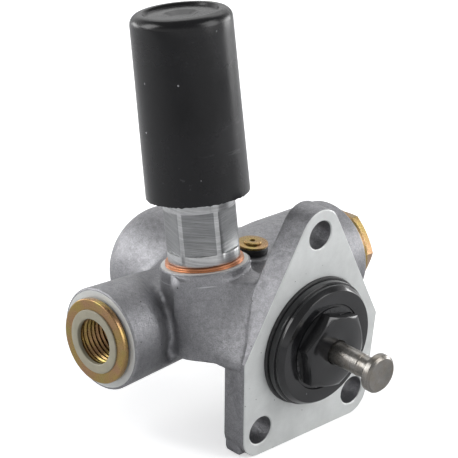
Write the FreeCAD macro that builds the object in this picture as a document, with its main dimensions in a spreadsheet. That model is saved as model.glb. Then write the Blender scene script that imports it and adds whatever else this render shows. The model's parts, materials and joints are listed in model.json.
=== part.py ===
import FreeCAD, Part
import math
import os

import Sketcher

# Fuel feed pump with hand primer.
# Origin: centre of the tappet in the mounting face of the flange.
# +X runs out of the flange along the tappet, +Y to the outlet, +Z up.
# Lengths are millimetres, angles are degrees.

os.makedirs("parts", exist_ok=True)
doc = FreeCAD.newDocument("feed_pump")
sheet = doc.addObject("Spreadsheet::Sheet", "sizes")

SIZES = {
    # flange of the housing
    "flange_thick": 9,
    "flange_half_width": 28.3,
    "flange_wide_rise": 0.3,
    "foot_half_width": 26.1,
    "foot_drop": 32.5,
    "foot_corner": 7,
    "side_corner": 1.2,
    "peak_corner": 8,
    "bolt_hole": 4.5,
    "bolt_side_margin": 6.4,
    "bolt_foot_margin": 8.4,
    "top_bolt_rise": 34.4,
    # piston cylinder with its domed end
    "cylinder_reach": 78,
    "cylinder_skin": 19,
    "dome_corner": 14,
    "neck_skin": 16.6,
    "neck_end": 32,
    "neck_shoulder": 2.5,
    "piston_bore": 11.05,
    "piston_bore_end": 66,
    "drill_tip": 3,
    # port barrel that crosses the cylinder
    "port_back": 39.2,
    "port_rim_corner": 0.8,
    "inlet_face": 49.5,
    "inlet_rim": 15.8,
    "inlet_root": 14.4,
    "outlet_face": 48.2,
    "outlet_rim": 16.6,
    "outlet_root": 17,
    "port_root_side": 22,
    "passage_bore": 5,
    "inlet_passage_end": 18,
    # boss that carries the primer, on a leaning axis
    "primer_back": 24.6,
    "primer_side": 18.3,
    "primer_lean": 12,
    "boss_top": 20.7,
    "boss_foot": 6,
    "boss_lip": 3.6,
    "boss_lip_step": 0.3,
    "boss_skin": 13.3,
    "boss_chamfer": 0.4,
    "boss_foot_corner": 3,
    "spot_face_reach": 8,
    "chamber_bore": 6.5,
    "chamber_step": 3.2,
    "well_bore": 4.6,
    "well_foot": 3,
    "link_bore": 2,
    "link_rise": 7.5,
    # web between the primer boss and the flange
    "web_low_reach": 23,
    "web_low_side": 9.9,
    "web_top": 13,
    "web_high_reach": 20.8,
    "web_high_side": 0.6,
    "web_inner_side": 8,
    # small plug on the cylinder
    "bleed_back": 27.9,
    "bleed_side": 0.7,
    "bleed_boss_foot": 10,
    "bleed_boss_skin": 6.7,
    "bleed_seat_rise": 18.4,
    "bleed_seat_skin": 5.3,
    "bleed_ring_thick": 2.2,
    "bleed_ring_skin": 4.8,
    "bleed_washer_thick": 0.7,
    "bleed_washer_skin": 4.8,
    "bleed_head_thick": 0.7,
    "bleed_head_skin": 2.75,
    "bleed_stem_skin": 2,
    "bleed_stem_length": 5,
    "bleed_socket": 0.8,
    "bleed_socket_depth": 1.5,
    # tappet guide nut
    "ring_seat_depth": 0.1,
    "ring_seat_gap": 0.2,
    "nut_ring_thick": 0.8,
    "nut_ring_skin": 20.2,
    "nut_ring_inner": 17.2,
    "nut_collar_thick": 2.4,
    "nut_collar_skin": 19.6,
    "nut_step_thick": 1.2,
    "nut_step_skin": 19,
    "nut_bevel_thick": 1.6,
    "nut_face_skin": 17.9,
    "nut_hex_length": 4.2,
    "nut_hex_across": 22,
    "nut_hex_turn": 45,
    "nut_hex_chamfer": 1.1,
    "nut_groove": 0.5,
    "nut_groove_wide": 0.9,
    "nut_spigot": 13.4,
    "nut_spigot_end": 12,
    # tappet pin
    "pin_skin": 3.5,
    "pin_back": 16,
    "pin_neck_start": 20.6,
    "pin_neck_skin": 3.3,
    "pin_neck_end": 24.3,
    "pin_head_root": 4.9,
    "pin_head_start": 25.2,
    "pin_head_skin": 5.95,
    "pin_head_end": 28.1,
    "pin_head_chamfer": 0.8,
    # piston and its spring
    "piston_length": 15,
    "piston_pocket": 9.2,
    "piston_pocket_depth": 10,
    "piston_spring_mean": 7.8,
    "piston_spring_wire": 0.8,
    "piston_spring_turns": 7,
    # ports
    "thread_skin": 11,
    "port_thread": 7,
    "port_thread_depth": 12,
    "port_drill": 3.2,
    "adapter_spigot": 11.6,
    "seal_thick": 0.5,
    "inlet_seal_skin": 12.5,
    "inlet_ring_thick": 2,
    "inlet_ring_skin": 13.1,
    "white_ring_skin": 9.85,
    "white_ring_proud": 0.44,
    "white_ring_sunk": 0.8,
    "outlet_washer_thick": 1.6,
    "outlet_washer_skin": 14.7,
    "outlet_collar_thick": 2.1,
    "outlet_collar_skin": 13.7,
    "outlet_hex_length": 4.3,
    "outlet_hex_across": 22,
    "outlet_hex_turn": 51.7,
    "outlet_hex_chamfer": 0.9,
    # pressure valve under the outlet adapter
    "valve_bore": 7.5,
    "valve_bore_start": 30.2,
    "outlet_bore_start": 35.7,
    "outlet_passage_start": 6,
    "valve_seat_thick": 1.5,
    "valve_seat_hole": 3,
    "valve_disc_thick": 1,
    "pressure_disc_skin": 5,
    "suction_disc_skin": 4.4,
    "valve_spring_wire": 0.35,
    "pressure_spring_mean": 4.2,
    "suction_spring_mean": 3.7,
    "valve_spring_turns": 4,
    # primer barrel
    "copper_thick": 1.2,
    "copper_skin": 11.85,
    "copper_bead": 0.28,
    "barrel_skin": 10.8,
    "barrel_collar": 3.4,
    "barrel_flats": 13,
    "barrel_across": 19,
    "barrel_turn": 13,
    "barrel_top": 62,
    "barrel_bore": 8,
    "barrel_bore_foot": 24,
    "spigot_skin": 8.9,
    "spigot_foot": 10,
    "spigot_bore": 5,
    "spigot_lip": 4,
    "spigot_mouth": 3,
    "bore_gap": 0.05,
    "seat_gap": 0.15,
    # primer plunger
    "gland_length": 4,
    "gland_flange": 2,
    "gland_skin": 9.6,
    "rod_skin": 2.5,
    "plunger_foot": 46,
    "plunger_length": 10,
    "plunger_groove_start": 3.5,
    "plunger_groove_wide": 2.4,
    "plunger_groove_depth": 1.4,
    "primer_spring_mean": 7.2,
    "primer_spring_wire": 0.6,
    "primer_spring_turns": 6,
    # cap
    "cap_foot": 41.6,
    "cap_top": 96.9,
    "cap_foot_skin": 15.5,
    "cap_head_skin": 15.1,
    "cap_crown": 3,
    "cap_inner": 12.4,
    "cap_inner_top": 92,
    "cap_boss_skin": 5,
    "cap_boss_foot": 84,
    "cap_socket_top": 90,
    "cap_dish_skin": 10.6,
    "cap_dish_depth": 0.9,
    "cap_rim_slope": 0.5,
    "cap_dimple_skin": 5.3,
    "cap_dimple_depth": 0.8,
}

DERIVED = {
    "peak_slope": "=atan(flange_half_width / (top_bolt_rise - flange_wide_rise))"
                  " - asin(peak_corner / sqrt(flange_half_width ^ 2"
                  " + (top_bolt_rise - flange_wide_rise) ^ 2))",
    "peak_rise": "=flange_wide_rise + flange_half_width / tan(peak_slope)",
    "low_bolt_side": "=foot_half_width - bolt_side_margin",
    "low_bolt_drop": "=foot_drop - bolt_foot_margin",
    "ring_seat_skin": "=nut_ring_skin + ring_seat_gap",
    "web_low_turn": "=atan(web_low_side / web_low_reach)"
                    " + acos(boss_skin / sqrt(web_low_side ^ 2 + web_low_reach ^ 2))",
    "web_low_touch_side": "=boss_skin * sin(web_low_turn)",
    "web_low_touch_reach": "=boss_skin * cos(web_low_turn)",
    "web_high_turn": "=atan(web_high_side / web_high_reach)"
                     " + acos(boss_skin / sqrt(web_high_side ^ 2 + web_high_reach ^ 2))",
    "web_high_touch_side": "=boss_skin * sin(web_high_turn)",
    "web_high_touch_reach": "=boss_skin * cos(web_high_turn)",
    "nut_collar_start": "=nut_ring_thick",
    "nut_step_start": "=nut_collar_start + nut_collar_thick",
    "nut_bevel_start": "=nut_step_start + nut_step_thick",
    "nut_face": "=nut_bevel_start + nut_bevel_thick",
    "nut_front": "=nut_face + nut_hex_length",
    "nut_hex_corner": "=nut_hex_across / sqrt(3)",
    "pin_bore": "=pin_skin + bore_gap",
    "spigot_hole": "=nut_spigot + bore_gap",
    "piston_skin": "=piston_bore - bore_gap",
    "piston_back": "=pin_back + piston_length",
    "piston_spring_front": "=piston_back - piston_pocket_depth",
    "thread_hole": "=thread_skin + bore_gap",
    "inlet_ring_foot": "=inlet_face + seal_thick",
    "inlet_front": "=inlet_ring_foot + inlet_ring_thick",
    "outlet_collar_start": "=outlet_face + outlet_washer_thick",
    "outlet_hex_start": "=outlet_collar_start + outlet_collar_thick",
    "outlet_front": "=outlet_hex_start + outlet_hex_length",
    "outlet_hex_corner": "=outlet_hex_across / sqrt(3)",
    "outlet_spigot_end": "=outlet_collar_start - adapter_spigot",
    "pressure_disc_start": "=valve_bore_start + valve_seat_thick",
    "pressure_spring_start": "=pressure_disc_start + valve_disc_thick",
    "suction_disc_start": "=chamber_step + valve_seat_thick",
    "suction_spring_start": "=suction_disc_start + valve_disc_thick",
    "collar_foot": "=boss_top + copper_thick",
    "flats_foot": "=collar_foot + barrel_collar",
    "barrel_corner": "=barrel_across / sqrt(3)",
    "gland_foot": "=barrel_top - gland_length",
    "gland_top": "=barrel_top + gland_flange",
    "plunger_top": "=plunger_foot + plunger_length",
    "plunger_skin": "=barrel_bore - bore_gap",
    "groove_foot": "=plunger_foot + plunger_groove_start",
    "groove_top": "=groove_foot + plunger_groove_wide",
    "groove_skin": "=plunger_skin - plunger_groove_depth",
    "cap_dish_floor": "=cap_top - cap_dish_depth",
    "cap_dimple_floor": "=cap_dish_floor - cap_dimple_depth",
    "cap_crown_round": "=min(cap_crown; cap_head_skin - cap_dish_skin - cap_rim_slope - 0.1)",
    "bleed_washer_rise": "=bleed_seat_rise + bleed_ring_thick",
    "bleed_head_rise": "=bleed_washer_rise + bleed_washer_thick",
    "bleed_head_top": "=bleed_head_rise + bleed_head_thick",
}


def fill_sheet():
    row = 1
    for name, size in list(SIZES.items()) + list(DERIVED.items()):
        sheet.set("A%d" % row, name)
        sheet.set("B%d" % row, str(size))
        sheet.setAlias("B%d" % row, name)
        row += 1
    doc.recompute()


def is_word(piece):
    return piece not in ("+", "-") and not piece[0].isdigit()


def number(text):
    """The value of a sum of sheet names and plain numbers, such as 'boss_top - boss_lip'."""
    total = 0.0
    sign = 1.0
    for piece in text.split():
        if piece == "+":
            sign = 1.0
        elif piece == "-":
            sign = -1.0
        else:
            size = sheet.get(piece) if is_word(piece) else float(piece)
            total += sign * float(getattr(size, "Value", size))
            sign = 1.0
    return total


def formula(text):
    """The same sum as an expression that stays bound to the sheet."""
    return " ".join("sizes." + piece if is_word(piece) else piece for piece in text.split())


def origin_plane(body, role):
    for feature in body.Origin.OriginFeatures:
        if feature.Role == role:
            return feature
    raise ValueError("no plane " + role)


def new_body(label):
    body = doc.addObject("PartDesign::Body", label)
    body.Label = label
    return body


def new_sketch(body, name, role, offset=None):
    sketch = body.newObject("Sketcher::SketchObject", name)
    sketch.AttachmentSupport = [(origin_plane(body, role), "")]
    sketch.MapMode = "FlatFace"
    if offset:
        sketch.AttachmentOffset.Base.z = number(offset)
        sketch.setExpression("AttachmentOffset.Base.z", formula(offset))
    return sketch


def place_vertex(sketch, edge, across, up):
    """Pins the first point of an edge to sums of sheet values."""
    for kind, text in (("DistanceX", across), ("DistanceY", up)):
        if text == "0":
            axis = -2 if kind == "DistanceX" else -1
            sketch.addConstraint(Sketcher.Constraint("PointOnObject", edge, 1, axis))
        else:
            rule = Sketcher.Constraint(kind, -1, 1, edge, 1, number(text))
            index = sketch.addConstraint(rule)
            sketch.setExpression("Constraints[%d]" % index, formula(text))


def draw_outline(sketch, corners):
    """A closed outline of straight edges through the given corners."""
    points = [FreeCAD.Vector(number(across), number(up), 0) for across, up in corners]
    count = len(points)
    for index in range(count):
        sketch.addGeometry(Part.LineSegment(points[index], points[(index + 1) % count]))
    for index in range(count):
        after = (index + 1) % count
        sketch.addConstraint(Sketcher.Constraint("Coincident", index, 2, after, 1))
    for index, (across, up) in enumerate(corners):
        place_vertex(sketch, index, across, up)


def draw_hole(sketch, across, up, radius):
    """A circle whose centre and radius are bound to the sheet."""
    centre = FreeCAD.Vector(number(across), number(up), 0)
    upright = FreeCAD.Vector(0, 0, 1)
    edge = sketch.addGeometry(Part.Circle(centre, upright, number(radius)))
    size = sketch.addConstraint(Sketcher.Constraint("Radius", edge, number(radius)))
    sketch.setExpression("Constraints[%d]" % size, formula(radius))
    for kind, text in (("DistanceX", across), ("DistanceY", up)):
        if text == "0":
            axis = -2 if kind == "DistanceX" else -1
            sketch.addConstraint(Sketcher.Constraint("PointOnObject", edge, 3, axis))
        else:
            rule = Sketcher.Constraint(kind, -1, 1, edge, 3, number(text))
            index = sketch.addConstraint(rule)
            sketch.setExpression("Constraints[%d]" % index, formula(text))
    return edge


def turned(label, corners):
    """A turned piece: its half section spun about its own X axis."""
    body = new_body(label)
    sketch = new_sketch(body, label + "_section", "XY_Plane")
    draw_outline(sketch, corners)
    turn = body.newObject("PartDesign::Revolution", label + "_turning")
    turn.Profile = sketch
    turn.ReferenceAxis = (sketch, ["H_Axis"])
    turn.Angle = 360
    doc.recompute()
    return body


def circle_edges(body, along, radius):
    """Names of the round edges about X at a place along the axis with a radius."""
    found = []
    for index, edge in enumerate(body.Tip.Shape.Edges, start=1):
        curve = edge.Curve
        if isinstance(curve, Part.Circle):
            level = abs(curve.Center.x - number(along)) < 0.001
            if level and abs(curve.Radius - number(radius)) < 0.001:
                found.append("Edge%d" % index)
    if not found:
        raise ValueError("no round edge on " + body.Label)
    return found


def round_over(body, along, radius, corner):
    """Rounds one turned edge of a body."""
    names = circle_edges(body, along, radius)
    before = body.Tip
    fillet = body.newObject("PartDesign::Fillet", body.Label + "_round")
    fillet.Base = (before, names)
    fillet.Radius = number(corner)
    fillet.setExpression("Radius", formula(corner))
    doc.recompute()
    return fillet


def mill_flats(body, across_corner, start, length, turn_angle, stock):
    """Six flats milled about X: what lies outside the hexagon is cut away."""
    sketch = new_sketch(body, body.Label + "_flats", "YZ_Plane", start)
    corner = number(across_corner)
    first = math.radians(number(turn_angle))
    points = []
    for step in range(6):
        angle = first + math.radians(60 * step)
        points.append(FreeCAD.Vector(corner * math.cos(angle), corner * math.sin(angle), 0))
    for step in range(6):
        sketch.addGeometry(Part.LineSegment(points[step], points[(step + 1) % 6]))
    upright = FreeCAD.Vector(0, 0, 1)
    centre = FreeCAD.Vector(0, 0, 0)
    guide = sketch.addGeometry(Part.Circle(centre, upright, corner), True)
    spoke = sketch.addGeometry(Part.LineSegment(centre, points[0]), True)
    rim = sketch.addGeometry(Part.Circle(centre, upright, number(stock)))
    for step in range(6):
        after = (step + 1) % 6
        sketch.addConstraint(Sketcher.Constraint("Coincident", step, 2, after, 1))
        sketch.addConstraint(Sketcher.Constraint("PointOnObject", step, 1, guide))
        if step:
            sketch.addConstraint(Sketcher.Constraint("Equal", 0, step))
    for circle in (guide, rim):
        sketch.addConstraint(Sketcher.Constraint("Coincident", circle, 3, -1, 1))
    sketch.addConstraint(Sketcher.Constraint("Coincident", spoke, 1, -1, 1))
    sketch.addConstraint(Sketcher.Constraint("Coincident", spoke, 2, 0, 1))
    bound = (
        (Sketcher.Constraint("Radius", guide, corner), across_corner),
        (Sketcher.Constraint("Radius", rim, number(stock)), stock),
        (Sketcher.Constraint("Angle", spoke, first), turn_angle),
    )
    for rule, text in bound:
        index = sketch.addConstraint(rule)
        unit = " * 1 deg" if text == turn_angle else ""
        sketch.setExpression("Constraints[%d]" % index, "(" + formula(text) + ")" + unit)
    before = body.Shape.Volume
    cut = body.newObject("PartDesign::Pocket", body.Label + "_milling")
    cut.Profile = sketch
    cut.Reversed = True
    cut.Length = number(length)
    cut.setExpression("Length", formula(length))
    doc.recompute()
    if body.Shape.Volume >= before:
        raise ValueError("no flats cut on " + body.Label)


def coil(label, start, end, mean, wire, turns):
    """A round-wire compression spring about its own X axis."""
    body = new_body(label)
    sketch = new_sketch(body, label + "_wire", "XY_Plane")
    draw_hole(sketch, start + " + " + wire, mean, wire)
    helix = body.newObject("PartDesign::AdditiveHelix", label + "_coil")
    helix.Profile = sketch
    helix.ReferenceAxis = (sketch, ["H_Axis"])
    helix.Mode = 2
    helix.Turns = number(turns)
    helix.setExpression("Turns", formula(turns))
    height = end + " - " + start + " - " + wire + " - " + wire
    helix.Height = number(height)
    helix.setExpression("Height", "abs(" + formula(height) + ")")
    doc.recompute()
    return body


def put(piece, back="0", side="0", rise="0", axis=(0, 0, 1), angle="0"):
    """Places a piece: its X axis is turned about an axis, then its origin is moved."""
    spin = FreeCAD.Rotation(FreeCAD.Vector(*axis), number(angle))
    corner = FreeCAD.Vector(number(back), number(side), number(rise))
    piece.Placement = FreeCAD.Placement(corner, spin)
    for name, text in (("Base.x", back), ("Base.y", side), ("Base.z", rise)):
        if text != "0":
            piece.setExpression("Placement." + name, formula(text))
    if is_word(angle.split()[-1]):
        piece.setExpression("Placement.Rotation.Angle", "(" + formula(angle) + ") * 1 deg")


def on_primer_axis(piece):
    """The piece's X axis becomes the leaning primer axis."""
    put(piece, "- primer_back", "- primer_side", "0", (0, -1, 0), "90 + primer_lean")


def on_inlet_axis(piece):
    put(piece, "- port_back", "0", "0", (0, 0, -1), "90")


def on_outlet_axis(piece):
    put(piece, "- port_back", "0", "0", (0, 0, 1), "90")


def on_bleed_axis(piece):
    put(piece, "- bleed_back", "bleed_side", "0", (0, -1, 0), "90")


def flange_plate():
    """Flange outline with three bolt holes, padded back from the mounting face."""
    body = new_body("flange_plate")
    sketch = new_sketch(body, "flange_outline", "YZ_Plane")
    draw_outline(sketch, [
        ("foot_half_width", "- foot_drop"),
        ("flange_half_width", "flange_wide_rise"),
        ("0", "peak_rise"),
        ("- flange_half_width", "flange_wide_rise"),
        ("- foot_half_width", "- foot_drop"),
    ])
    draw_hole(sketch, "low_bolt_side", "- low_bolt_drop", "bolt_hole")
    draw_hole(sketch, "- low_bolt_side", "- low_bolt_drop", "bolt_hole")
    draw_hole(sketch, "0", "top_bolt_rise", "bolt_hole")
    pad = body.newObject("PartDesign::Pad", "flange_pad")
    pad.Profile = sketch
    pad.Reversed = True
    pad.Length = number("flange_thick")
    pad.setExpression("Length", formula("flange_thick"))
    doc.recompute()
    corners = (
        ("foot_corner", ("foot_half_width", "- foot_drop")),
        ("side_corner", ("flange_half_width", "flange_wide_rise")),
        ("peak_corner", ("0", "peak_rise")),
    )
    for corner, (side, rise) in corners:
        names = []
        for index, edge in enumerate(body.Tip.Shape.Edges, start=1):
            middle = edge.CenterOfMass
            near_side = abs(abs(middle.y) - abs(number(side))) < 0.001
            if near_side and abs(middle.z - number(rise)) < 0.001:
                names.append("Edge%d" % index)
        before = body.Tip
        fillet = body.newObject("PartDesign::Fillet", corner + "_round")
        fillet.Base = (before, names)
        fillet.Radius = number(corner)
        fillet.setExpression("Radius", formula(corner))
        doc.recompute()
    return body


def cylinder_casting():
    """Outside of the piston cylinder: slim neck, full barrel and dome."""
    body = turned("cylinder_casting", [
        ("- flange_thick + 1", "0"),
        ("- flange_thick + 1", "neck_skin"),
        ("- neck_end", "neck_skin"),
        ("- neck_end - neck_shoulder", "cylinder_skin"),
        ("- cylinder_reach", "cylinder_skin"),
        ("- cylinder_reach", "0"),
    ])
    round_over(body, "- cylinder_reach", "cylinder_skin", "dome_corner")
    return body


def port_casting():
    """Outside of the inlet and outlet bosses, with draft towards the cylinder."""
    body = turned("port_casting", [
        ("- inlet_face", "0"),
        ("- inlet_face", "inlet_rim"),
        ("- port_root_side", "inlet_root"),
        ("port_root_side", "outlet_root"),
        ("outlet_face", "outlet_rim"),
        ("outlet_face", "0"),
    ])
    round_over(body, "- inlet_face", "inlet_rim", "port_rim_corner")
    round_over(body, "outlet_face", "outlet_rim", "port_rim_corner")
    on_outlet_axis(body)
    return body


def primer_casting():
    """Outside of the primer boss: machined top, lip line and rounded foot."""
    body = turned("primer_casting", [
        ("- boss_foot", "0"),
        ("- boss_foot", "boss_skin"),
        ("boss_top - boss_lip", "boss_skin + boss_lip_step"),
        ("boss_top - boss_lip", "boss_skin"),
        ("boss_top - boss_chamfer", "boss_skin"),
        ("boss_top", "boss_skin - boss_chamfer"),
        ("boss_top", "0"),
    ])
    round_over(body, "- boss_foot", "boss_skin", "boss_foot_corner")
    on_primer_axis(body)
    return body


def bleed_casting():
    """Low round boss on the neck that carries the small plug."""
    body = turned("bleed_casting", [
        ("bleed_boss_foot", "0"),
        ("bleed_boss_foot", "bleed_boss_skin"),
        ("bleed_seat_rise", "bleed_boss_skin"),
        ("bleed_seat_rise", "0"),
    ])
    on_bleed_axis(body)
    return body


def web_section(body, level, place):
    """Outline of the web across the primer axis: boss centre, boss skin, flange edge, inside."""
    sketch = new_sketch(body, "web_" + level + "_section", "YZ_Plane", place)
    reach = "- web_" + level + "_reach"
    draw_outline(sketch, [
        ("0", "0"),
        ("- web_" + level + "_touch_side", "- web_" + level + "_touch_reach"),
        ("- web_" + level + "_side", reach),
        ("web_inner_side", reach),
    ])
    return sketch


def web_casting():
    """Web that runs from the side of the primer boss to the edge of the flange."""
    body = new_body("web_casting")
    low = web_section(body, "low", "- boss_foot")
    high = web_section(body, "high", "web_top")
    skin = body.newObject("PartDesign::AdditiveLoft", "web_skin")
    skin.Profile = low
    skin.Sections = [high]
    skin.Ruled = True
    doc.recompute()
    on_primer_axis(body)
    return body


def piston_cutter():
    """Spot face of the seal ring, thread hole of the guide nut and bore of the piston."""
    return turned("piston_cutter", [
        ("1", "0"),
        ("1", "ring_seat_skin"),
        ("- ring_seat_depth", "ring_seat_skin"),
        ("- ring_seat_depth", "spigot_hole"),
        ("- nut_spigot_end - seat_gap", "spigot_hole"),
        ("- nut_spigot_end - seat_gap", "piston_bore"),
        ("- piston_bore_end", "piston_bore"),
        ("- piston_bore_end - drill_tip", "0"),
    ])


def inlet_cutter():
    """Thread hole and passage of the inlet."""
    body = turned("inlet_cutter", [
        ("inlet_face + 1", "0"),
        ("inlet_face + 1", "thread_hole"),
        ("inlet_face - adapter_spigot", "thread_hole"),
        ("inlet_face - adapter_spigot - drill_tip", "passage_bore"),
        ("inlet_passage_end", "passage_bore"),
        ("inlet_passage_end", "0"),
    ])
    on_inlet_axis(body)
    return body


def outlet_cutter():
    """Thread hole, valve bore and passage of the outlet."""
    body = turned("outlet_cutter", [
        ("outlet_face + 1", "0"),
        ("outlet_face + 1", "thread_hole"),
        ("outlet_bore_start", "thread_hole"),
        ("outlet_bore_start", "valve_bore"),
        ("valve_bore_start", "valve_bore"),
        ("valve_bore_start", "passage_bore"),
        ("outlet_passage_start", "passage_bore"),
        ("outlet_passage_start", "0"),
    ])
    on_outlet_axis(body)
    return body


def primer_cutter():
    """Spot face and thread hole of the primer, chamber of the suction valve, and its well."""
    body = turned("primer_cutter", [
        ("boss_top + spot_face_reach", "0"),
        ("boss_top + spot_face_reach", "boss_skin"),
        ("boss_top", "boss_skin"),
        ("boss_top", "spigot_skin + bore_gap"),
        ("spigot_foot - seat_gap", "spigot_skin + bore_gap"),
        ("spigot_foot - seat_gap", "chamber_bore"),
        ("chamber_step", "chamber_bore"),
        ("chamber_step", "well_bore"),
        ("- well_foot", "well_bore"),
        ("- well_foot", "0"),
    ])
    on_primer_axis(body)
    return body


def bleed_cutter():
    """Spot face and threaded hole of the small plug."""
    body = turned("bleed_cutter", [
        ("bleed_seat_rise + 4", "0"),
        ("bleed_seat_rise + 4", "bleed_seat_skin"),
        ("bleed_seat_rise", "bleed_seat_skin"),
        ("bleed_seat_rise", "bleed_stem_skin + bore_gap"),
        ("bleed_head_rise - bleed_stem_length - seat_gap", "bleed_stem_skin + bore_gap"),
        ("bleed_head_rise - bleed_stem_length - seat_gap", "0"),
    ])
    on_bleed_axis(body)
    return body


def drilling(label, radius, length, corner, axis, angle):
    """A straight drilled link between two chambers."""
    hole = doc.addObject("Part::Cylinder", label)
    hole.setExpression("Radius", formula(radius))
    hole.setExpression("Height", formula(length))
    put(hole, corner[0], corner[1], corner[2], axis, angle)
    return hole


def combine(kind, name, first, others):
    """A chain of fuses or cuts, one piece after another."""
    result = first
    for index, other in enumerate(others, start=1):
        step = doc.addObject(kind, "%s_%d" % (name, index))
        step.Base = result
        step.Tool = other
        result = step
    return result


def pump_housing():
    """The aluminium casting: everything cast in one, less what is bored out."""
    casting = combine("Part::Fuse", "casting", cylinder_casting(), [
        port_casting(), primer_casting(), bleed_casting(), web_casting(), flange_plate(),
    ])
    housing = combine("Part::Cut", "bored", casting, [
        piston_cutter(),
        inlet_cutter(),
        outlet_cutter(),
        primer_cutter(),
        bleed_cutter(),
        drilling("suction_link", "link_bore", "port_back - primer_back",
                 ("- port_back", "- primer_side", "0"), (0, 1, 0), "90"),
        drilling("delivery_link", "link_bore", "primer_side",
                 ("- primer_back", "- primer_side", "link_rise"), (-1, 0, 0), "90"),
    ])
    housing.Label = "pump_housing"
    return housing


def guide_nut():
    """Black tappet guide: spigot, stepped collar, bevelled face and chamfered hexagon."""
    body = turned("guide_nut", [
        ("- nut_spigot_end", "pin_bore"),
        ("- nut_spigot_end", "nut_spigot"),
        ("nut_collar_start", "nut_spigot"),
        ("nut_collar_start", "nut_collar_skin"),
        ("nut_step_start", "nut_collar_skin"),
        ("nut_step_start", "nut_step_skin"),
        ("nut_bevel_start", "nut_step_skin"),
        ("nut_face", "nut_face_skin"),
        ("nut_face", "nut_hex_corner + nut_groove_wide"),
        ("nut_face - nut_groove", "nut_hex_corner + nut_groove_wide"),
        ("nut_face - nut_groove", "nut_hex_corner"),
        ("nut_front - nut_hex_chamfer", "nut_hex_corner"),
        ("nut_front", "nut_hex_corner - nut_hex_chamfer - nut_hex_chamfer"),
        ("nut_front", "pin_bore"),
    ])
    mill_flats(body, "nut_hex_corner", "nut_face", "nut_hex_length", "nut_hex_turn",
               "nut_hex_corner + 1")
    return body


def guide_nut_ring():
    """Flat black ring between the guide nut and its spot face in the flange."""
    return turned("guide_nut_ring", [
        ("- ring_seat_depth", "nut_ring_inner"),
        ("- ring_seat_depth", "nut_ring_skin"),
        ("nut_ring_thick", "nut_ring_skin"),
        ("nut_ring_thick", "nut_ring_inner"),
    ])


def tappet_pin():
    """Steel tappet: shank, slimmer neck and chamfered head."""
    return turned("tappet_pin", [
        ("- pin_back", "0"),
        ("- pin_back", "pin_skin"),
        ("pin_neck_start", "pin_skin"),
        ("pin_neck_start", "pin_neck_skin"),
        ("pin_neck_end", "pin_neck_skin"),
        ("pin_head_start", "pin_head_root"),
        ("pin_head_start + bore_gap", "pin_head_skin"),
        ("pin_head_end - pin_head_chamfer", "pin_head_skin"),
        ("pin_head_end", "pin_head_skin - pin_head_chamfer"),
        ("pin_head_end", "0"),
    ])


def piston():
    """Piston with a pocket for its spring."""
    return turned("piston", [
        ("- pin_back", "0"),
        ("- piston_spring_front", "0"),
        ("- piston_spring_front", "piston_pocket"),
        ("- piston_back", "piston_pocket"),
        ("- piston_back", "piston_skin"),
        ("- pin_back", "piston_skin"),
    ])


def piston_spring():
    body = coil("piston_spring", "piston_spring_front", "piston_bore_end",
                "piston_spring_mean", "piston_spring_wire", "piston_spring_turns")
    put(body, axis=(0, 0, 1), angle="180")
    return body


def inlet_adapter():
    """Zinc-plated adapter with flange ring, thread and a seat for the white ring."""
    body = turned("inlet_adapter", [
        ("inlet_ring_foot - adapter_spigot", "port_drill"),
        ("inlet_ring_foot - adapter_spigot", "thread_skin"),
        ("inlet_ring_foot", "thread_skin"),
        ("inlet_ring_foot", "inlet_ring_skin"),
        ("inlet_front", "inlet_ring_skin"),
        ("inlet_front", "white_ring_skin"),
        ("inlet_front - white_ring_sunk", "white_ring_skin"),
        ("inlet_front - white_ring_sunk", "port_thread"),
        ("inlet_front - port_thread_depth", "port_thread"),
        ("inlet_front - port_thread_depth", "port_drill"),
    ])
    on_inlet_axis(body)
    return body


def white_ring(label, front):
    """Pale ring round the mouth of a port, standing a little proud."""
    return turned(label, [
        (front + " - white_ring_sunk", "port_thread"),
        (front + " - white_ring_sunk", "white_ring_skin"),
        (front + " + white_ring_proud", "white_ring_skin"),
        (front + " + white_ring_proud", "port_thread"),
    ])


def inlet_white_ring():
    body = white_ring("inlet_white_ring", "inlet_front")
    on_inlet_axis(body)
    return body


def outlet_white_ring():
    body = white_ring("outlet_white_ring", "outlet_front")
    on_outlet_axis(body)
    return body


def inlet_seal_ring():
    """Thin black seal between the inlet adapter and the boss."""
    body = turned("inlet_seal_ring", [
        ("inlet_face", "thread_hole"),
        ("inlet_face", "inlet_seal_skin"),
        ("inlet_ring_foot", "inlet_seal_skin"),
        ("inlet_ring_foot", "thread_hole"),
    ])
    on_inlet_axis(body)
    return body


def outlet_washer():
    body = turned("outlet_washer", [
        ("outlet_face", "thread_hole"),
        ("outlet_face", "outlet_washer_skin"),
        ("outlet_collar_start", "outlet_washer_skin"),
        ("outlet_collar_start", "thread_hole"),
    ])
    on_outlet_axis(body)
    return body


def outlet_adapter():
    """Zinc-plated adapter with collar, hexagon, thread and a seat for the white ring."""
    body = turned("outlet_adapter", [
        ("outlet_spigot_end", "port_drill"),
        ("outlet_spigot_end", "thread_skin"),
        ("outlet_collar_start", "thread_skin"),
        ("outlet_collar_start", "outlet_collar_skin"),
        ("outlet_hex_start", "outlet_collar_skin"),
        ("outlet_hex_start", "outlet_hex_corner"),
        ("outlet_front - outlet_hex_chamfer", "outlet_hex_corner"),
        ("outlet_front", "outlet_hex_corner - outlet_hex_chamfer - outlet_hex_chamfer"),
        ("outlet_front", "white_ring_skin"),
        ("outlet_front - white_ring_sunk", "white_ring_skin"),
        ("outlet_front - white_ring_sunk", "port_thread"),
        ("outlet_front - port_thread_depth", "port_thread"),
        ("outlet_front - port_thread_depth", "port_drill"),
    ])
    mill_flats(body, "outlet_hex_corner", "outlet_hex_start", "outlet_hex_length",
               "outlet_hex_turn", "outlet_hex_corner + 1")
    on_outlet_axis(body)
    return body


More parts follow.
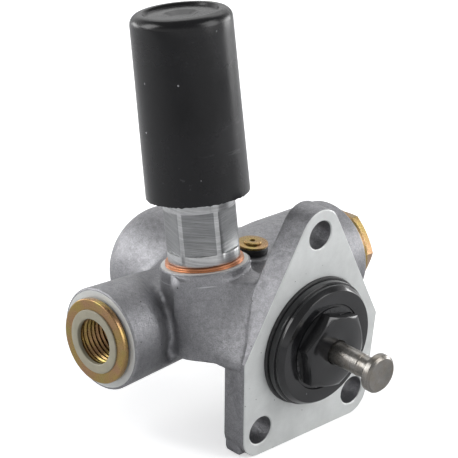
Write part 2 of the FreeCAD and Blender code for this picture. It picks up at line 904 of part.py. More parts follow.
def valve_seat(label, start, skin):
    """Ring with a hole that a valve disc closes."""
    return turned(label, [
        (start, "valve_seat_hole"),
        (start, skin + " - bore_gap"),
        (start + " + valve_seat_thick", skin + " - bore_gap"),
        (start + " + valve_seat_thick", "valve_seat_hole"),
    ])


def valve_disc(label, start, skin):
    return turned(label, [
        (start, "0"),
        (start, skin),
        (start + " + valve_disc_thick", skin),
        (start + " + valve_disc_thick", "0"),
    ])


def suction_valve():
    """Valve under the primer: seat, disc and spring."""
    seat = valve_seat("suction_valve_seat", "chamber_step", "chamber_bore")
    disc = valve_disc("suction_valve_disc", "suction_disc_start", "suction_disc_skin")
    spring = coil("suction_valve_spring", "suction_spring_start", "spigot_foot",
                  "suction_spring_mean", "valve_spring_wire", "valve_spring_turns")
    for piece in (seat, disc, spring):
        on_primer_axis(piece)
    return [seat, disc, spring]


def pressure_valve():
    """Valve under the outlet adapter: seat, disc and spring."""
    seat = valve_seat("pressure_valve_seat", "valve_bore_start", "valve_bore")
    disc = valve_disc("pressure_valve_disc", "pressure_disc_start", "pressure_disc_skin")
    spring = coil("pressure_valve_spring", "pressure_spring_start", "outlet_spigot_end",
                  "pressure_spring_mean", "valve_spring_wire", "valve_spring_turns")
    for piece in (seat, disc, spring):
        on_outlet_axis(piece)
    return [seat, disc, spring]


def bleed_screw():
    """Small zinc plug with a socket."""
    body = turned("bleed_screw", [
        ("bleed_head_rise - bleed_stem_length", "0"),
        ("bleed_head_rise - bleed_stem_length", "bleed_stem_skin"),
        ("bleed_head_rise", "bleed_stem_skin"),
        ("bleed_head_rise", "bleed_head_skin"),
        ("bleed_head_top", "bleed_head_skin"),
        ("bleed_head_top", "bleed_socket"),
        ("bleed_head_top - bleed_socket_depth", "bleed_socket"),
        ("bleed_head_top - bleed_socket_depth", "0"),
    ])
    on_bleed_axis(body)
    return body


def bleed_ring(label, start, thick, skin):
    body = turned(label, [
        (start, "bleed_stem_skin + bore_gap"),
        (start, skin),
        (start + " + " + thick, skin),
        (start + " + " + thick, "bleed_stem_skin + bore_gap"),
    ])
    on_bleed_axis(body)
    return body


def primer_copper_washer():
    """Crush washer with two beads round its rim."""
    middle = "copper_thick - copper_bead - copper_bead"
    body = turned("primer_copper_washer", [
        ("boss_top", "spigot_skin + bore_gap"),
        ("boss_top", "copper_skin - copper_bead"),
        ("boss_top + copper_bead", "copper_skin"),
        ("boss_top + copper_bead + copper_bead", "copper_skin - copper_bead"),
        ("boss_top + " + middle, "copper_skin - copper_bead"),
        ("boss_top + copper_thick - copper_bead", "copper_skin"),
        ("boss_top + copper_thick", "copper_skin - copper_bead"),
        ("boss_top + copper_thick", "spigot_skin + bore_gap"),
    ])
    on_primer_axis(body)
    return body


def primer_barrel():
    """Aluminium barrel: threaded spigot, collar, six milled flats and pump bore."""
    body = turned("primer_barrel", [
        ("spigot_foot", "spigot_mouth"),
        ("spigot_foot", "spigot_skin"),
        ("collar_foot", "spigot_skin"),
        ("collar_foot", "barrel_skin"),
        ("barrel_top", "barrel_skin"),
        ("barrel_top", "barrel_bore"),
        ("barrel_bore_foot", "barrel_bore"),
        ("barrel_bore_foot", "spigot_bore"),
        ("spigot_foot + spigot_lip", "spigot_bore"),
        ("spigot_foot + spigot_lip", "spigot_mouth"),
    ])
    mill_flats(body, "barrel_corner", "flats_foot", "barrel_flats", "barrel_turn",
               "barrel_skin + 1")
    on_primer_axis(body)
    return body


def primer_gland():
    """Bush in the top of the barrel that guides the rod."""
    body = turned("primer_gland", [
        ("gland_foot", "rod_skin + bore_gap"),
        ("gland_foot", "barrel_bore"),
        ("barrel_top", "barrel_bore"),
        ("barrel_top", "gland_skin"),
        ("gland_top", "gland_skin"),
        ("gland_top", "rod_skin + bore_gap"),
    ])
    on_primer_axis(body)
    return body


def primer_rod():
    body = turned("primer_rod", [
        ("plunger_foot", "0"),
        ("plunger_foot", "rod_skin"),
        ("cap_socket_top", "rod_skin"),
        ("cap_socket_top", "0"),
    ])
    on_primer_axis(body)
    return body


def primer_piston():
    body = turned("primer_piston", [
        ("plunger_foot", "rod_skin"),
        ("plunger_foot", "plunger_skin"),
        ("groove_foot", "plunger_skin"),
        ("groove_foot", "groove_skin"),
        ("groove_top", "groove_skin"),
        ("groove_top", "plunger_skin"),
        ("plunger_top", "plunger_skin"),
        ("plunger_top", "rod_skin"),
    ])
    on_primer_axis(body)
    return body


def primer_piston_seal():
    body = turned("primer_piston_seal", [
        ("groove_foot", "groove_skin"),
        ("groove_foot", "plunger_skin"),
        ("groove_top", "plunger_skin"),
        ("groove_top", "groove_skin"),
    ])
    on_primer_axis(body)
    return body


def primer_spring():
    body = coil("primer_spring", "gland_top", "cap_inner_top", "primer_spring_mean",
                "primer_spring_wire", "primer_spring_turns")
    on_primer_axis(body)
    return body


def primer_cap():
    """Black cap: hollow, tapered, with a rounded crown, a dished top and a dimple."""
    body = turned("primer_cap", [
        ("cap_foot", "cap_inner"),
        ("cap_foot", "cap_foot_skin"),
        ("cap_top", "cap_head_skin"),
        ("cap_top", "cap_dish_skin + cap_rim_slope"),
        ("cap_dish_floor", "cap_dish_skin"),
        ("cap_dish_floor", "cap_dimple_skin"),
        ("cap_dimple_floor", "0"),
        ("cap_socket_top", "0"),
        ("cap_socket_top", "rod_skin"),
        ("cap_boss_foot", "rod_skin"),
        ("cap_boss_foot", "cap_boss_skin"),
        ("cap_inner_top", "cap_boss_skin"),
        ("cap_inner_top", "cap_inner"),
    ])
    round_over(body, "cap_top", "cap_head_skin", "cap_crown_round")
    on_primer_axis(body)
    return body


def check(pieces):
    """Stops if any object failed, or any piece is not one valid solid shape."""
    doc.recompute()
    for item in doc.Objects:
        bad = [state for state in item.State if state in ("Invalid", "Error")]
        if bad:
            raise ValueError("%s is %s" % (item.Label, bad))
    for piece in pieces:
        shape = piece.Shape
        if shape.isNull() or not shape.isValid() or not shape.Solids:
            raise ValueError(piece.Label + " has no valid solid")


def main():
    fill_sheet()
    pieces = [
        pump_housing(),
        guide_nut(),
        guide_nut_ring(),
        tappet_pin(),
        piston(),
        piston_spring(),
        inlet_adapter(),
        inlet_white_ring(),
        inlet_seal_ring(),
        outlet_washer(),
        outlet_adapter(),
        outlet_white_ring(),
        bleed_screw(),
        bleed_ring("bleed_washer", "bleed_washer_rise", "bleed_washer_thick",
                   "bleed_washer_skin"),
        bleed_ring("bleed_seal_ring", "bleed_seat_rise", "bleed_ring_thick",
                   "bleed_ring_skin"),
        primer_copper_washer(),
        primer_barrel(),
        primer_gland(),
        primer_rod(),
        primer_piston(),
        primer_piston_seal(),
        primer_spring(),
        primer_cap(),
    ]
    pieces += suction_valve()
    pieces += pressure_valve()
    check(pieces)
    for piece in pieces:
        piece.Shape.exportStep("parts/" + piece.Label + ".step")


main()
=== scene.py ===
import json
import math

import bmesh
import bpy
import numpy as np
from bpy.props import FloatProperty, FloatVectorProperty, PointerProperty
from mathutils import Matrix, Vector


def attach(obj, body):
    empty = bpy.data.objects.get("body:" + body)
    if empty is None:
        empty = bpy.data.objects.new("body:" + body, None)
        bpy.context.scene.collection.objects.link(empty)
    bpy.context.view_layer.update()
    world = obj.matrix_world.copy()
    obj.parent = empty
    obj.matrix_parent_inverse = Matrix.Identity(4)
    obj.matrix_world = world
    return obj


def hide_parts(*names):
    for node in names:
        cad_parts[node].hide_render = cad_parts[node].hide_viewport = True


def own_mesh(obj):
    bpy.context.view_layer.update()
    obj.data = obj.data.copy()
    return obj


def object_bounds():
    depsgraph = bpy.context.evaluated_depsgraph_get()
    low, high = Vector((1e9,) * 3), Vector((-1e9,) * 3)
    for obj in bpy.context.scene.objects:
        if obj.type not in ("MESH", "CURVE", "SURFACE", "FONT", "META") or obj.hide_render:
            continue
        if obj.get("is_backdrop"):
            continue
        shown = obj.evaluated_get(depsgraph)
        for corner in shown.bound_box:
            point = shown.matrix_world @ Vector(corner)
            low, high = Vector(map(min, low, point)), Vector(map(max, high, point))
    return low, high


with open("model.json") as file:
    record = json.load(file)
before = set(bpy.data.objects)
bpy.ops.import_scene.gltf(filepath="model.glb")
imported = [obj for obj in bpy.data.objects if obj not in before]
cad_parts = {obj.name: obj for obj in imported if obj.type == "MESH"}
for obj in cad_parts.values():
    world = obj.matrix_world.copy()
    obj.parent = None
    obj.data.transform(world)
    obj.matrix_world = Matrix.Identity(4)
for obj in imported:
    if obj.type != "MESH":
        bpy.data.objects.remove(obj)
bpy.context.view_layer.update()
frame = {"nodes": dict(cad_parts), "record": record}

bl_info = {
    "name": "Hand primer pump",
    "version": (1, 0, 0),
    "blender": (4, 5, 0),
    "location": "3D View > Sidebar > Pump",
    "description": "Dresses a fuel feed pump with hand primer",
    "category": "Object",
}

MM = 0.001
OVER = 1 * MM  # how far cutters and joined forms reach past a face
CLEARANCE = 0.05 * MM  # between a piece and the bore that holds it
HEXAGON_EDGE = 0.15 * MM  # rounding of the corners of the two steel hexagons


def length(name, description, millimetres):
    return FloatProperty(
        name=name, description=description, default=millimetres * MM,
        unit="LENGTH", precision=5,
    )


def angle(name, description, degrees):
    return FloatProperty(
        name=name, description=description, default=math.radians(degrees),
        subtype="ANGLE", unit="ROTATION",
    )


def share(name, description, value, top=1.0):
    return FloatProperty(
        name=name, description=description, default=value, min=0.0, max=top,
        subtype="FACTOR",
    )


def colour(name, description, red, green, blue):
    return FloatVectorProperty(
        name=name, description=description, default=(red, green, blue),
        subtype="COLOR", min=0.0, max=1.0, size=3,
    )


class CastingSettings(bpy.types.PropertyGroup):
    """Sizes and finish of the aluminium housing."""

    flange_thick: length("Flange thickness", "Mounting face to back of the flange", 9)
    flange_half_width: length("Flange half width", "At its widest level", 28.3)
    flange_wide_rise: length("Widest level", "Height of the widest level", 0.3)
    foot_half_width: length("Foot half width", "Half width at the foot", 26.1)
    foot_drop: length("Foot drop", "Tappet axis down to the foot", 32.5)
    foot_corner: length("Foot corner", "Corner radius at the foot", 7)
    side_corner: length("Side corner", "Corner radius at the widest level", 1.2)
    peak_corner: length("Peak corner", "Corner radius at the peak", 8)
    front_edge: length("Front edge", "Break of the milled front edge", 0.25)
    back_edge: length("Back edge", "Cast rounding of the back edge", 1.1)
    bolt_hole: length("Bolt hole", "Radius of the three bolt holes", 4.5)
    low_bolt_side: length("Lower bolt side", "Lower holes from the middle", 19.7)
    low_bolt_drop: length("Lower bolt drop", "Lower holes below the tappet", 24.1)
    top_bolt_rise: length("Upper bolt rise", "Upper hole above the tappet", 34.4)
    cylinder_reach: length("Cylinder reach", "Mounting face to the dome's end", 78)
    cylinder_skin: length("Cylinder radius", "Outside of the piston cylinder", 19)
    dome_corner: length("Dome corner", "Rounding of the domed end", 14)
    neck_skin: length("Neck radius", "Slimmer part behind the flange", 16.6)
    neck_end: length("Neck end", "Where the slimmer part ends", 32)
    neck_shoulder: length("Neck shoulder", "Length of the cone to the full barrel", 2.5)
    piston_bore: length("Piston bore", "Radius of the piston bore", 11.05)
    piston_bore_end: length("Piston bore end", "Depth of the piston bore", 66)
    bore_end_gap: length("Bore end gap", "Space between a piece and its bore's end", 0.15)
    passage: length("Passage", "Radius of the passages behind the ports", 5)
    inlet_cone: length("Inlet cone", "Cone from the inlet's bore to its passage", 3)
    inlet_passage_end: length("Inlet passage", "Where the inlet's passage ends", 27)
    outlet_bore_start: length("Outlet bore", "Where the outlet's bore starts", 35.7)
    valve_bore: length("Valve bore", "Radius of the outlet valve's bore", 7.5)
    valve_bore_start: length("Valve bore start", "Where that bore starts", 30.2)
    outlet_passage_start: length("Outlet passage", "Where the outlet's passage starts", 14)
    primer_valve_bore: length("Primer valve bore", "Radius of the inlet valve's bore", 6.5)
    primer_valve_foot: length("Primer valve foot", "Foot of the inlet valve's bore", 3.2)
    primer_passage: length("Primer passage", "Radius of the passage below that valve", 4.6)
    primer_passage_foot: length("Passage foot", "How far that passage goes down", 3)
    port_back: length("Port axis", "Port axis behind the mounting face", 39.2)
    inlet_face: length("Inlet face", "Tappet axis to the inlet face", 49.5)
    inlet_rim: length("Inlet rim", "Radius at the inlet face", 15.8)
    inlet_root: length("Inlet root", "Radius where the inlet boss starts", 14.4)
    outlet_face: length("Outlet face", "Tappet axis to the outlet face", 48.2)
    outlet_rim: length("Outlet rim", "Radius at the outlet face", 16.6)
    outlet_root: length("Outlet root", "Radius where the outlet boss starts", 17)
    port_root_side: length("Port root", "Side distance where the draft starts", 22)
    rim_edge: length("Rim edge", "Break of the port rims", 0.8)
    boss_skin: length("Primer boss radius", "Turned band at the boss's top", 13.3)
    boss_step: length("Primer boss step", "Cast skin outside the turned band", 0.3)
    boss_top: length("Primer boss top", "Seat along the primer axis", 20.7)
    boss_lip: length("Primer boss lip", "Height of the turned band", 3.6)
    boss_foot: length("Primer boss foot", "Foot below the primer's origin", 6)
    boss_foot_corner: length("Boss foot corner", "Rounding of the boss's foot", 1.4)
    valley_deep: length("Valley depth", "Hollow of the inlet boss beside the primer boss", 3.4)
    valley_wide: length("Valley width", "Width of that hollow", 9)
    web_foot_back: length("Web foot", "Web's edge at the widest level", 1.2)
    web_top_rise: length("Web top", "Height where the web ends", 20)
    web_lean: share("Web lean", "How far the web's edge runs back per height", 0.45)
    port_fillet: length("Port fillet", "Cast fillet of the ports", 3.8)
    boss_fillet: length("Boss fillet", "Cast fillet of the primer boss", 2.8)
    flange_fillet: length("Flange fillet", "Cast fillet of the flange", 3.0)
    plug_fillet: length("Plug fillet", "Cast fillet of the plug's boss", 1.5)
    web_fillet: length("Web fillet", "Cast fillet of the web", 0.8)
    web_foot_drop: length("Web foot drop", "Where the web's edge turns upright", 8)
    web_side: length("Web side", "Where the web's form ends beside the tappet", 10)
    skin_start: length("Skin start", "Where the cast skin starts behind the face", 2)
    plate_inset: length("Plate inset", "Skin inside the crisp plate", 0.4)
    bolt_chamfer: length("Bolt chamfer", "Chamfer of the bolt holes", 0.3)
    boss_edge: length("Boss edge", "Break of the primer boss's rim", 0.4)
    skin_cell: length("Skin cell", "Size of the skin's faces", 0.85)
    cast_colour: colour("Cast colour", "Blasted aluminium", 0.25, 0.25, 0.262)
    milled_colour: colour("Milled colour", "Milled aluminium", 0.68, 0.695, 0.685)


class NutSettings(bpy.types.PropertyGroup):
    """Sizes and finish of the tappet guide nut, its ring and the tappet."""

    ring_seat: length("Ring seat", "Depth of the ring's spot face", 0.1)
    ring_seat_gap: length("Ring seat gap", "Spot face outside the ring", 0.2)
    ring_thick: length("Ring thickness", "Black ring on the flange", 0.8)
    ring_skin: length("Ring radius", "Outside of the ring", 20.2)
    ring_inner: length("Ring hole", "Hole of the ring", 17.2)
    collar_top: length("Collar", "Front of the collar", 3.2)
    collar_skin: length("Collar radius", "Outside of the collar", 19.6)
    step_top: length("Step", "Front of the step", 4.4)
    step_skin: length("Step radius", "Outside of the step", 19)
    face: length("Face", "Front face under the hexagon", 6.0)
    face_skin: length("Face radius", "Where the bevel ends", 17.9)
    front: length("Front", "Front of the hexagon", 10.2)
    across: length("Across flats", "Width of the hexagon", 22)
    turn: angle("Turn", "Turn of the hexagon", 45)
    chamfer: length("Chamfer", "Chamfer of the hexagon's corners", 1.1)
    groove: length("Groove", "Depth of the groove round the hexagon", 0.5)
    groove_wide: length("Groove width", "Width of that groove", 0.9)
    spigot: length("Spigot", "Radius of the screwed-in part", 13.4)
    spigot_end: length("Spigot end", "Depth of the screwed-in part", 12)
    pin_bore: length("Pin bore", "Radius of the bore", 3.55)
    edge: length("Edge", "Break of the turned edges", 0.18)
    pin_skin: length("Pin radius", "Shank of the tappet", 3.5)
    pin_back: length("Pin back", "Depth of the shank", 16)
    neck_start: length("Neck start", "Where the neck starts", 20.6)
    neck_skin: length("Neck radius", "Slimmer neck", 3.3)
    neck_end: length("Neck end", "Where the neck ends", 24.3)
    head_start: length("Head start", "Back of the head", 25.2)
    head_root: length("Head root", "Where the head's back starts", 4.9)
    head_skin: length("Head radius", "Outside of the head", 5.95)
    head_end: length("Head end", "Front of the head", 28.1)
    head_chamfer: length("Head chamfer", "Chamfer of the head", 0.8)
    black_colour: colour("Black colour", "Blackened steel", 0.006, 0.006, 0.007)
    steel_colour: colour("Steel colour", "Ground steel", 0.25, 0.24, 0.225)
    rubber_colour: colour("Rubber colour", "Black rubber", 0.016, 0.016, 0.017)


class PortSettings(bpy.types.PropertyGroup):
    """Sizes and finish of the adapters, washers and white rings."""

    thread_skin: length("Screwed part", "Radius screwed into the casting", 11)
    seal_thick: length("Seal", "Thickness of the black seal", 0.5)
    seal_skin: length("Seal radius", "Outside of the black seal", 12.5)
    inlet_ring_thick: length("Inlet ring", "Thickness of the inlet ring", 2)
    inlet_ring_skin: length("Inlet ring radius", "Outside of the inlet ring", 13.1)
    spigot_length: length("Spigot", "Length screwed into the casting", 11.6)
    washer_thick: length("Washer", "Thickness of the outlet washer", 1.6)
    washer_skin: length("Washer radius", "Outside of the outlet washer", 14.7)
    collar_thick: length("Collar", "Thickness of the outlet collar", 2.1)
    collar_skin: length("Collar radius", "Outside of the outlet collar", 13.7)
    hex_length: length("Hexagon", "Length of the outlet hexagon", 4.3)
    hex_across: length("Across flats", "Width of the outlet hexagon", 22)
    hex_turn: angle("Turn", "Turn of the outlet hexagon", 51.7)
    hex_chamfer: length("Chamfer", "Chamfer of the hexagon's corners", 0.9)
    thread_minor: length("Thread", "Minor radius of the port thread", 7)
    thread_depth: length("Thread depth", "Depth of the thread's groove", 0.62)
    thread_pitch: length("Pitch", "Pitch of the port thread", 1.5)
    thread_length: length("Thread length", "Depth of the tapped hole", 12)
    drill: length("Drill", "Radius of the drilled passage", 3.2)
    white_skin: length("White ring radius", "Outside of the white ring", 9.85)
    white_proud: length("White ring height", "How far it stands out", 0.44)
    white_sunk: length("White ring depth", "How deep it sits", 0.8)
    edge: length("Edge", "Break of the turned edges", 0.22)
    zinc_colour: colour("Zinc colour", "Yellow passivated zinc", 0.34, 0.24, 0.075)
    zinc_tint: colour("Zinc tint", "Pinkish patches of the zinc", 0.34, 0.20, 0.105)
    zinc_green: colour("Zinc green", "Greenish patches of the zinc", 0.30, 0.27, 0.08)
    white_colour: colour("White ring colour", "Moulded ring", 0.36, 0.335, 0.25)


class PlugSettings(bpy.types.PropertyGroup):
    """Sizes of the small plug between the primer and the flange."""

    back: length("Plug back", "Plug axis behind the mounting face", 27.9)
    side: length("Plug side", "Plug axis beside the tappet", 0.7)
    seat: length("Seat", "Spot face of the plug", 18.4)
    seat_skin: length("Seat radius", "Radius of the spot face", 5.3)
    boss_foot: length("Boss foot", "Where the plug's boss starts", 10)
    boss_skin: length("Boss radius", "Outside of the plug's boss", 6.7)
    ring_thick: length("Ring", "Thickness of the black ring", 2.2)
    ring_skin: length("Ring radius", "Outside of the black ring", 4.8)
    washer_thick: length("Washer", "Thickness of the washer", 0.7)
    washer_skin: length("Washer radius", "Outside of the washer", 4.8)
    head_thick: length("Head", "Thickness of the head", 0.7)
    head_skin: length("Head radius", "Outside of the head", 2.75)
    stem_skin: length("Stem", "Radius of the stem", 2)
    stem_length: length("Stem length", "Length of the stem", 5)
    socket: length("Socket", "Radius of the socket", 0.8)
    socket_depth: length("Socket depth", "Depth of the socket", 1.5)


class PrimerSettings(bpy.types.PropertyGroup):
    """Sizes and finish of the primer barrel, its washer and the cap."""

    back: length("Primer back", "Primer axis behind the mounting face", 24.6)
    side: length("Primer side", "Primer axis beside the tappet", 18.3)
    lean: angle("Lean", "Lean of the primer", 12.0)
    copper_thick: length("Washer", "Thickness of the copper washer", 1.2)
    copper_skin: length("Washer radius", "Outside of the copper washer", 11.85)
    copper_bead: length("Bead", "Radius of the washer's beads", 0.28)
    spigot_skin: length("Spigot", "Radius of the screwed-in part", 8.9)
    spigot_foot: length("Spigot foot", "Foot of the screwed-in part", 10)
    spigot_lip: length("Spigot lip", "Thickness of the lip at the spigot's mouth", 4)
    spigot_mouth: length("Spigot mouth", "Radius of the spigot's mouth", 3)
    spigot_bore: length("Spigot bore", "Radius of the spigot's bore", 5)
    barrel_skin: length("Barrel radius", "Outside of the barrel", 10.8)
    barrel_bore: length("Barrel bore", "Radius of the pump bore", 8)
    barrel_bore_foot: length("Barrel bore foot", "Foot of the pump bore", 24)
    barrel_top: length("Barrel top", "Top of the barrel", 62)
    barrel_collar: length("Barrel collar", "Collar below the flats", 3.4)
    flats_length: length("Flats", "Length of the milled flats", 13)
    flats_across: length("Across flats", "Width across the flats", 19.4)
    flats_turn: angle("Turn", "Turn of the flats", 13)
    cap_foot: length("Cap foot", "Foot of the cap", 41.6)
    cap_top: length("Cap top", "Top of the cap", 96.9)
    cap_foot_skin: length("Cap foot radius", "Outside at the foot", 15.5)
    cap_head_skin: length("Cap head radius", "Outside at the top", 15.1)
    cap_crown: length("Cap crown", "Rounding of the cap's top edge", 3.0)
    cap_inner: length("Cap inside", "Radius of the cap's inside", 12.4)
    cap_inner_top: length("Cap inside top", "Top of the cap's inside", 92)
    cap_boss_skin: length("Cap boss", "Radius of the boss for the rod", 5)
    cap_boss_foot: length("Cap boss foot", "Foot of that boss", 84)
    cap_socket_top: length("Cap socket top", "Top of the rod's socket", 90)
    cap_dish_skin: length("Cap dish", "Radius of the sunk top", 10.6)
    cap_dish_depth: length("Cap dish depth", "Depth of the sunk top", 0.9)
    cap_dimple_skin: length("Cap dimple", "Radius of the dimple", 5.3)
    cap_dimple_depth: length("Cap dimple depth", "Depth of the dimple", 0.8)
    cap_flash: length("Cap flash", "Ragged mould flash at the foot", 0.35)
    rod_skin: length("Rod", "Radius of the rod", 2.5)
    plastic_colour: colour("Plastic colour", "Black cap", 0.0035, 0.0035, 0.0045)
    copper_colour: colour("Copper colour", "Copper washer", 0.60, 0.26, 0.13)
    flat_colour: colour("Flat colour", "Milled flats", 0.28, 0.285, 0.29)
    turned_colour: colour("Turned colour", "Turned aluminium", 0.52, 0.525, 0.53)


class StageSettings(bpy.types.PropertyGroup):
    """Camera, lamps and floor."""

    azimuth: angle("Azimuth", "Camera turned round the object", 44.1626)
    elevation: angle("Elevation", "Camera above the object", 25.3748)
    roll: angle("Roll", "Camera rolled about its view", 3.5974)
    distance: length("Distance", "Camera to the object", 744.9)
    aim_side: length("Aim side", "Picture centre beside the origin", -24.84)
    aim_rise: length("Aim rise", "Picture centre above the origin", 32.92)
    focal: FloatProperty(name="Lens", description="Focal length", default=196.5,
                         unit="CAMERA", min=1.0)
    floor_half: length("Floor", "Half width of the floor", 4000)
    key_power: FloatProperty(name="Key", description="Power of the lamp right of the camera",
                             default=6.0, unit="POWER")
    left_power: FloatProperty(name="Left", description="Power of the high lamp at the left",
                              default=5.0, unit="POWER")
    left_rim_power: FloatProperty(name="Left rim", description="Power of the lamp behind left",
                                  default=7.5, unit="POWER")
    right_rim_power: FloatProperty(name="Right rim", description="Power of the lamp behind right",
                                   default=9.0, unit="POWER")
    top_power: FloatProperty(name="Top", description="Power of the top lamp",
                             default=2.2, unit="POWER")
    overhead_grey: share("Overhead", "Grey that metal mirrors from above", 0.35)
    overhead_start: share("Overhead start", "Where that grey starts, as a rise", 0.12)
    overhead_end: share("Overhead end", "Where that grey is full, as a rise", 0.62)
    ambient_colour: colour("Ambient", "Light from all round", 0.27, 0.275, 0.29)
    floor_colour: colour("Floor colour", "Pale floor", 0.86, 0.86, 0.86)
    floor_glow: share("Floor glow", "Own light of the floor in the camera's view", 0.55)
    floor_gap: length("Floor gap", "Floor below the lowest point", 0.02)


def casting():
    return bpy.context.scene.pump_casting


def nut():
    return bpy.context.scene.pump_nut


def ports():
    return bpy.context.scene.pump_ports


def plug():
    return bpy.context.scene.pump_plug


def primer():
    return bpy.context.scene.pump_primer


def stage_settings():
    return bpy.context.scene.pump_stage


# Axes of the pump: each maps a turned piece's own X axis into the frame.


def axis_frame(origin, turn_axis, turn):
    return Matrix.Translation(origin) @ Matrix.Rotation(turn, 4, turn_axis)


def tappet_axis():
    return Matrix.Identity(4)


def primer_axis():
    sizes = primer()
    return axis_frame((-sizes.back, -sizes.side, 0), (0, -1, 0), math.pi / 2 + sizes.lean)


def inlet_axis():
    sizes = casting()
    return axis_frame((-sizes.port_back, 0, 0), (0, 0, -1), math.pi / 2)


def outlet_axis():
    sizes = casting()
    return axis_frame((-sizes.port_back, 0, 0), (0, 0, 1), math.pi / 2)


def plug_axis():
    sizes = plug()
    return axis_frame((-sizes.back, sizes.side, 0), (0, -1, 0), math.pi / 2)


# Shape tools


def rounded_corners(corners, steps=5):
    """Replaces each corner (a, b, radius) of a closed outline by an arc."""
    points = []
    count = len(corners)
    for index, corner in enumerate(corners):
        here = Vector(corner[:2])
        radius = corner[2] if len(corner) > 2 else 0.0
        if radius <= 0:
            points.append(here)
            continue
        to_last = (Vector(corners[index - 1][:2]) - here).normalized()
        to_next = (Vector(corners[(index + 1) % count][:2]) - here).normalized()
        half = to_last.angle(to_next) / 2
        middle = here + (to_last + to_next).normalized() * (radius / math.sin(half))
        start = here + to_last * (radius / math.tan(half)) - middle
        end = here + to_next * (radius / math.tan(half)) - middle
        sweep = start.angle_signed(end)
        for step in range(steps + 1):
            spoke = start.copy()
            spoke.rotate(Matrix.Rotation(-sweep * step / steps, 2))
            points.append(middle + spoke)
    return points


def mesh_piece(name, vertices, faces):
    mesh = bpy.data.meshes.new(name)
    mesh.from_pydata([tuple(v) for v in vertices], [], faces)
    mesh.validate()
    tidy = bmesh.new()
    tidy.from_mesh(mesh)
    bmesh.ops.recalc_face_normals(tidy, faces=tidy.faces)
    tidy.to_mesh(mesh)
    tidy.free()
    piece = bpy.data.objects.new(name, mesh)
    bpy.context.scene.collection.objects.link(piece)
    return piece


def lathe(name, corners, frame_matrix, segments=128, steps=4):
    """A closed half section (along, radius, corner radius) spun about its axis."""
    outline = rounded_corners(corners, steps)
    vertices = []
    rings = []
    for along, radius in outline:
        if radius < 1e-7:
            rings.append([len(vertices)])
            vertices.append(frame_matrix @ Vector((along, 0, 0)))
            continue
        ring = []
        for step in range(segments):
            turn = 2 * math.pi * step / segments
            ring.append(len(vertices))
            spoke = Vector((along, radius * math.cos(turn), radius * math.sin(turn)))
            vertices.append(frame_matrix @ spoke)
        rings.append(ring)
    faces = []
    for index, ring in enumerate(rings):
        following = rings[(index + 1) % len(rings)]
        if len(ring) == 1 and len(following) == 1:
            continue
        for step in range(segments):
            after = (step + 1) % segments
            if len(ring) == 1:
                faces.append((ring[0], following[after], following[step]))
            elif len(following) == 1:
                faces.append((ring[step], ring[after], following[0]))
            else:
                faces.append((ring[step], ring[after], following[after], following[step]))
    return mesh_piece(name, vertices, faces)


def prism(name, outline, low, high, frame_matrix):
    """A closed outline in the piece's Y-Z plane, from low to high along its X axis."""
    count = len(outline)
    vertices = [frame_matrix @ Vector((along, a, b))
                for along in (low, high) for a, b in outline]
    faces = [tuple(range(count)), tuple(range(count, 2 * count))]
    for index in range(count):
        after = (index + 1) % count
        faces.append((index, after, count + after, count + index))
    return mesh_piece(name, vertices, faces)


def hexagon(across, turn, corner):
    """Outline of a hexagon with slightly broken corners."""
    points = []
    for step in range(6):
        direction = turn + step * math.pi / 3
        reach = across / math.sqrt(3)
        points.append((reach * math.cos(direction), reach * math.sin(direction), corner))
    return rounded_corners(points, 2)


def settle(piece):
    """Makes the piece's modifiers part of its mesh."""
    graph = bpy.context.evaluated_depsgraph_get()
    made = bpy.data.meshes.new_from_object(piece.evaluated_get(graph))
    piece.modifiers.clear()
    old = piece.data
    piece.data = made
    bpy.data.meshes.remove(old)


def carve(piece, tool, operation="DIFFERENCE"):
    """Cuts, joins or keeps a piece with a tool, and removes the tool."""
    step = piece.modifiers.new("carve", "BOOLEAN")
    step.operation = operation
    step.solver = "EXACT"
    step.object = tool
    settle(piece)
    bpy.data.objects.remove(tool)


def break_edges(piece, width, segments=2):
    """Small rounds on the sharp edges, with even shading on the flats."""
    step = piece.modifiers.new("edges", "BEVEL")
    step.width = width
    step.segments = segments
    step.limit_method = "ANGLE"
    step.angle_limit = math.radians(28)
    step.harden_normals = False
    settle(piece)


def shade(piece, sharp_degrees=32):
    """Smooth shading, with the corners above the given angle kept sharp."""
    mesh = piece.data
    mesh.polygons.foreach_set("use_smooth", [True] * len(mesh.polygons))
    mesh.set_sharp_from_angle(angle=math.radians(sharp_degrees))
    mesh.update()


def seat(piece, body, slot, material, *nodes):
    """Puts a finished piece on its body in place of the nodes it stands for."""
    piece.data.materials.clear()
    piece.data.materials.append(material)
    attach(piece, body)
    if nodes:
        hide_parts(*nodes)


def turned_piece(name, node, slot, corners, frame_matrix, segments=96, sharp=45,
                 body="pump_body", finish=None):
    """Turns a piece, smooths it and seats it on its body."""
    piece = lathe(name, corners, frame_matrix, segments)
    shade(piece, sharp)
    seat(piece, body, slot, finish_of(finish or slot), node)


def cut_hexagon(piece, across, turn, corner, places, radii, frame_matrix):
    """Mills a hexagon into a round piece, between two places along its axis."""
    low, high = places
    inner, outer = radii
    ring = lathe("round_stock", [
        (low, inner), (low, outer), (high, outer), (high, inner),
    ], frame_matrix, 96)
    core = prism("hexagon_core", hexagon(across, turn, corner), low - OVER, high + OVER,
                 frame_matrix)
    carve(ring, core)
    carve(piece, ring)


# Finish tools


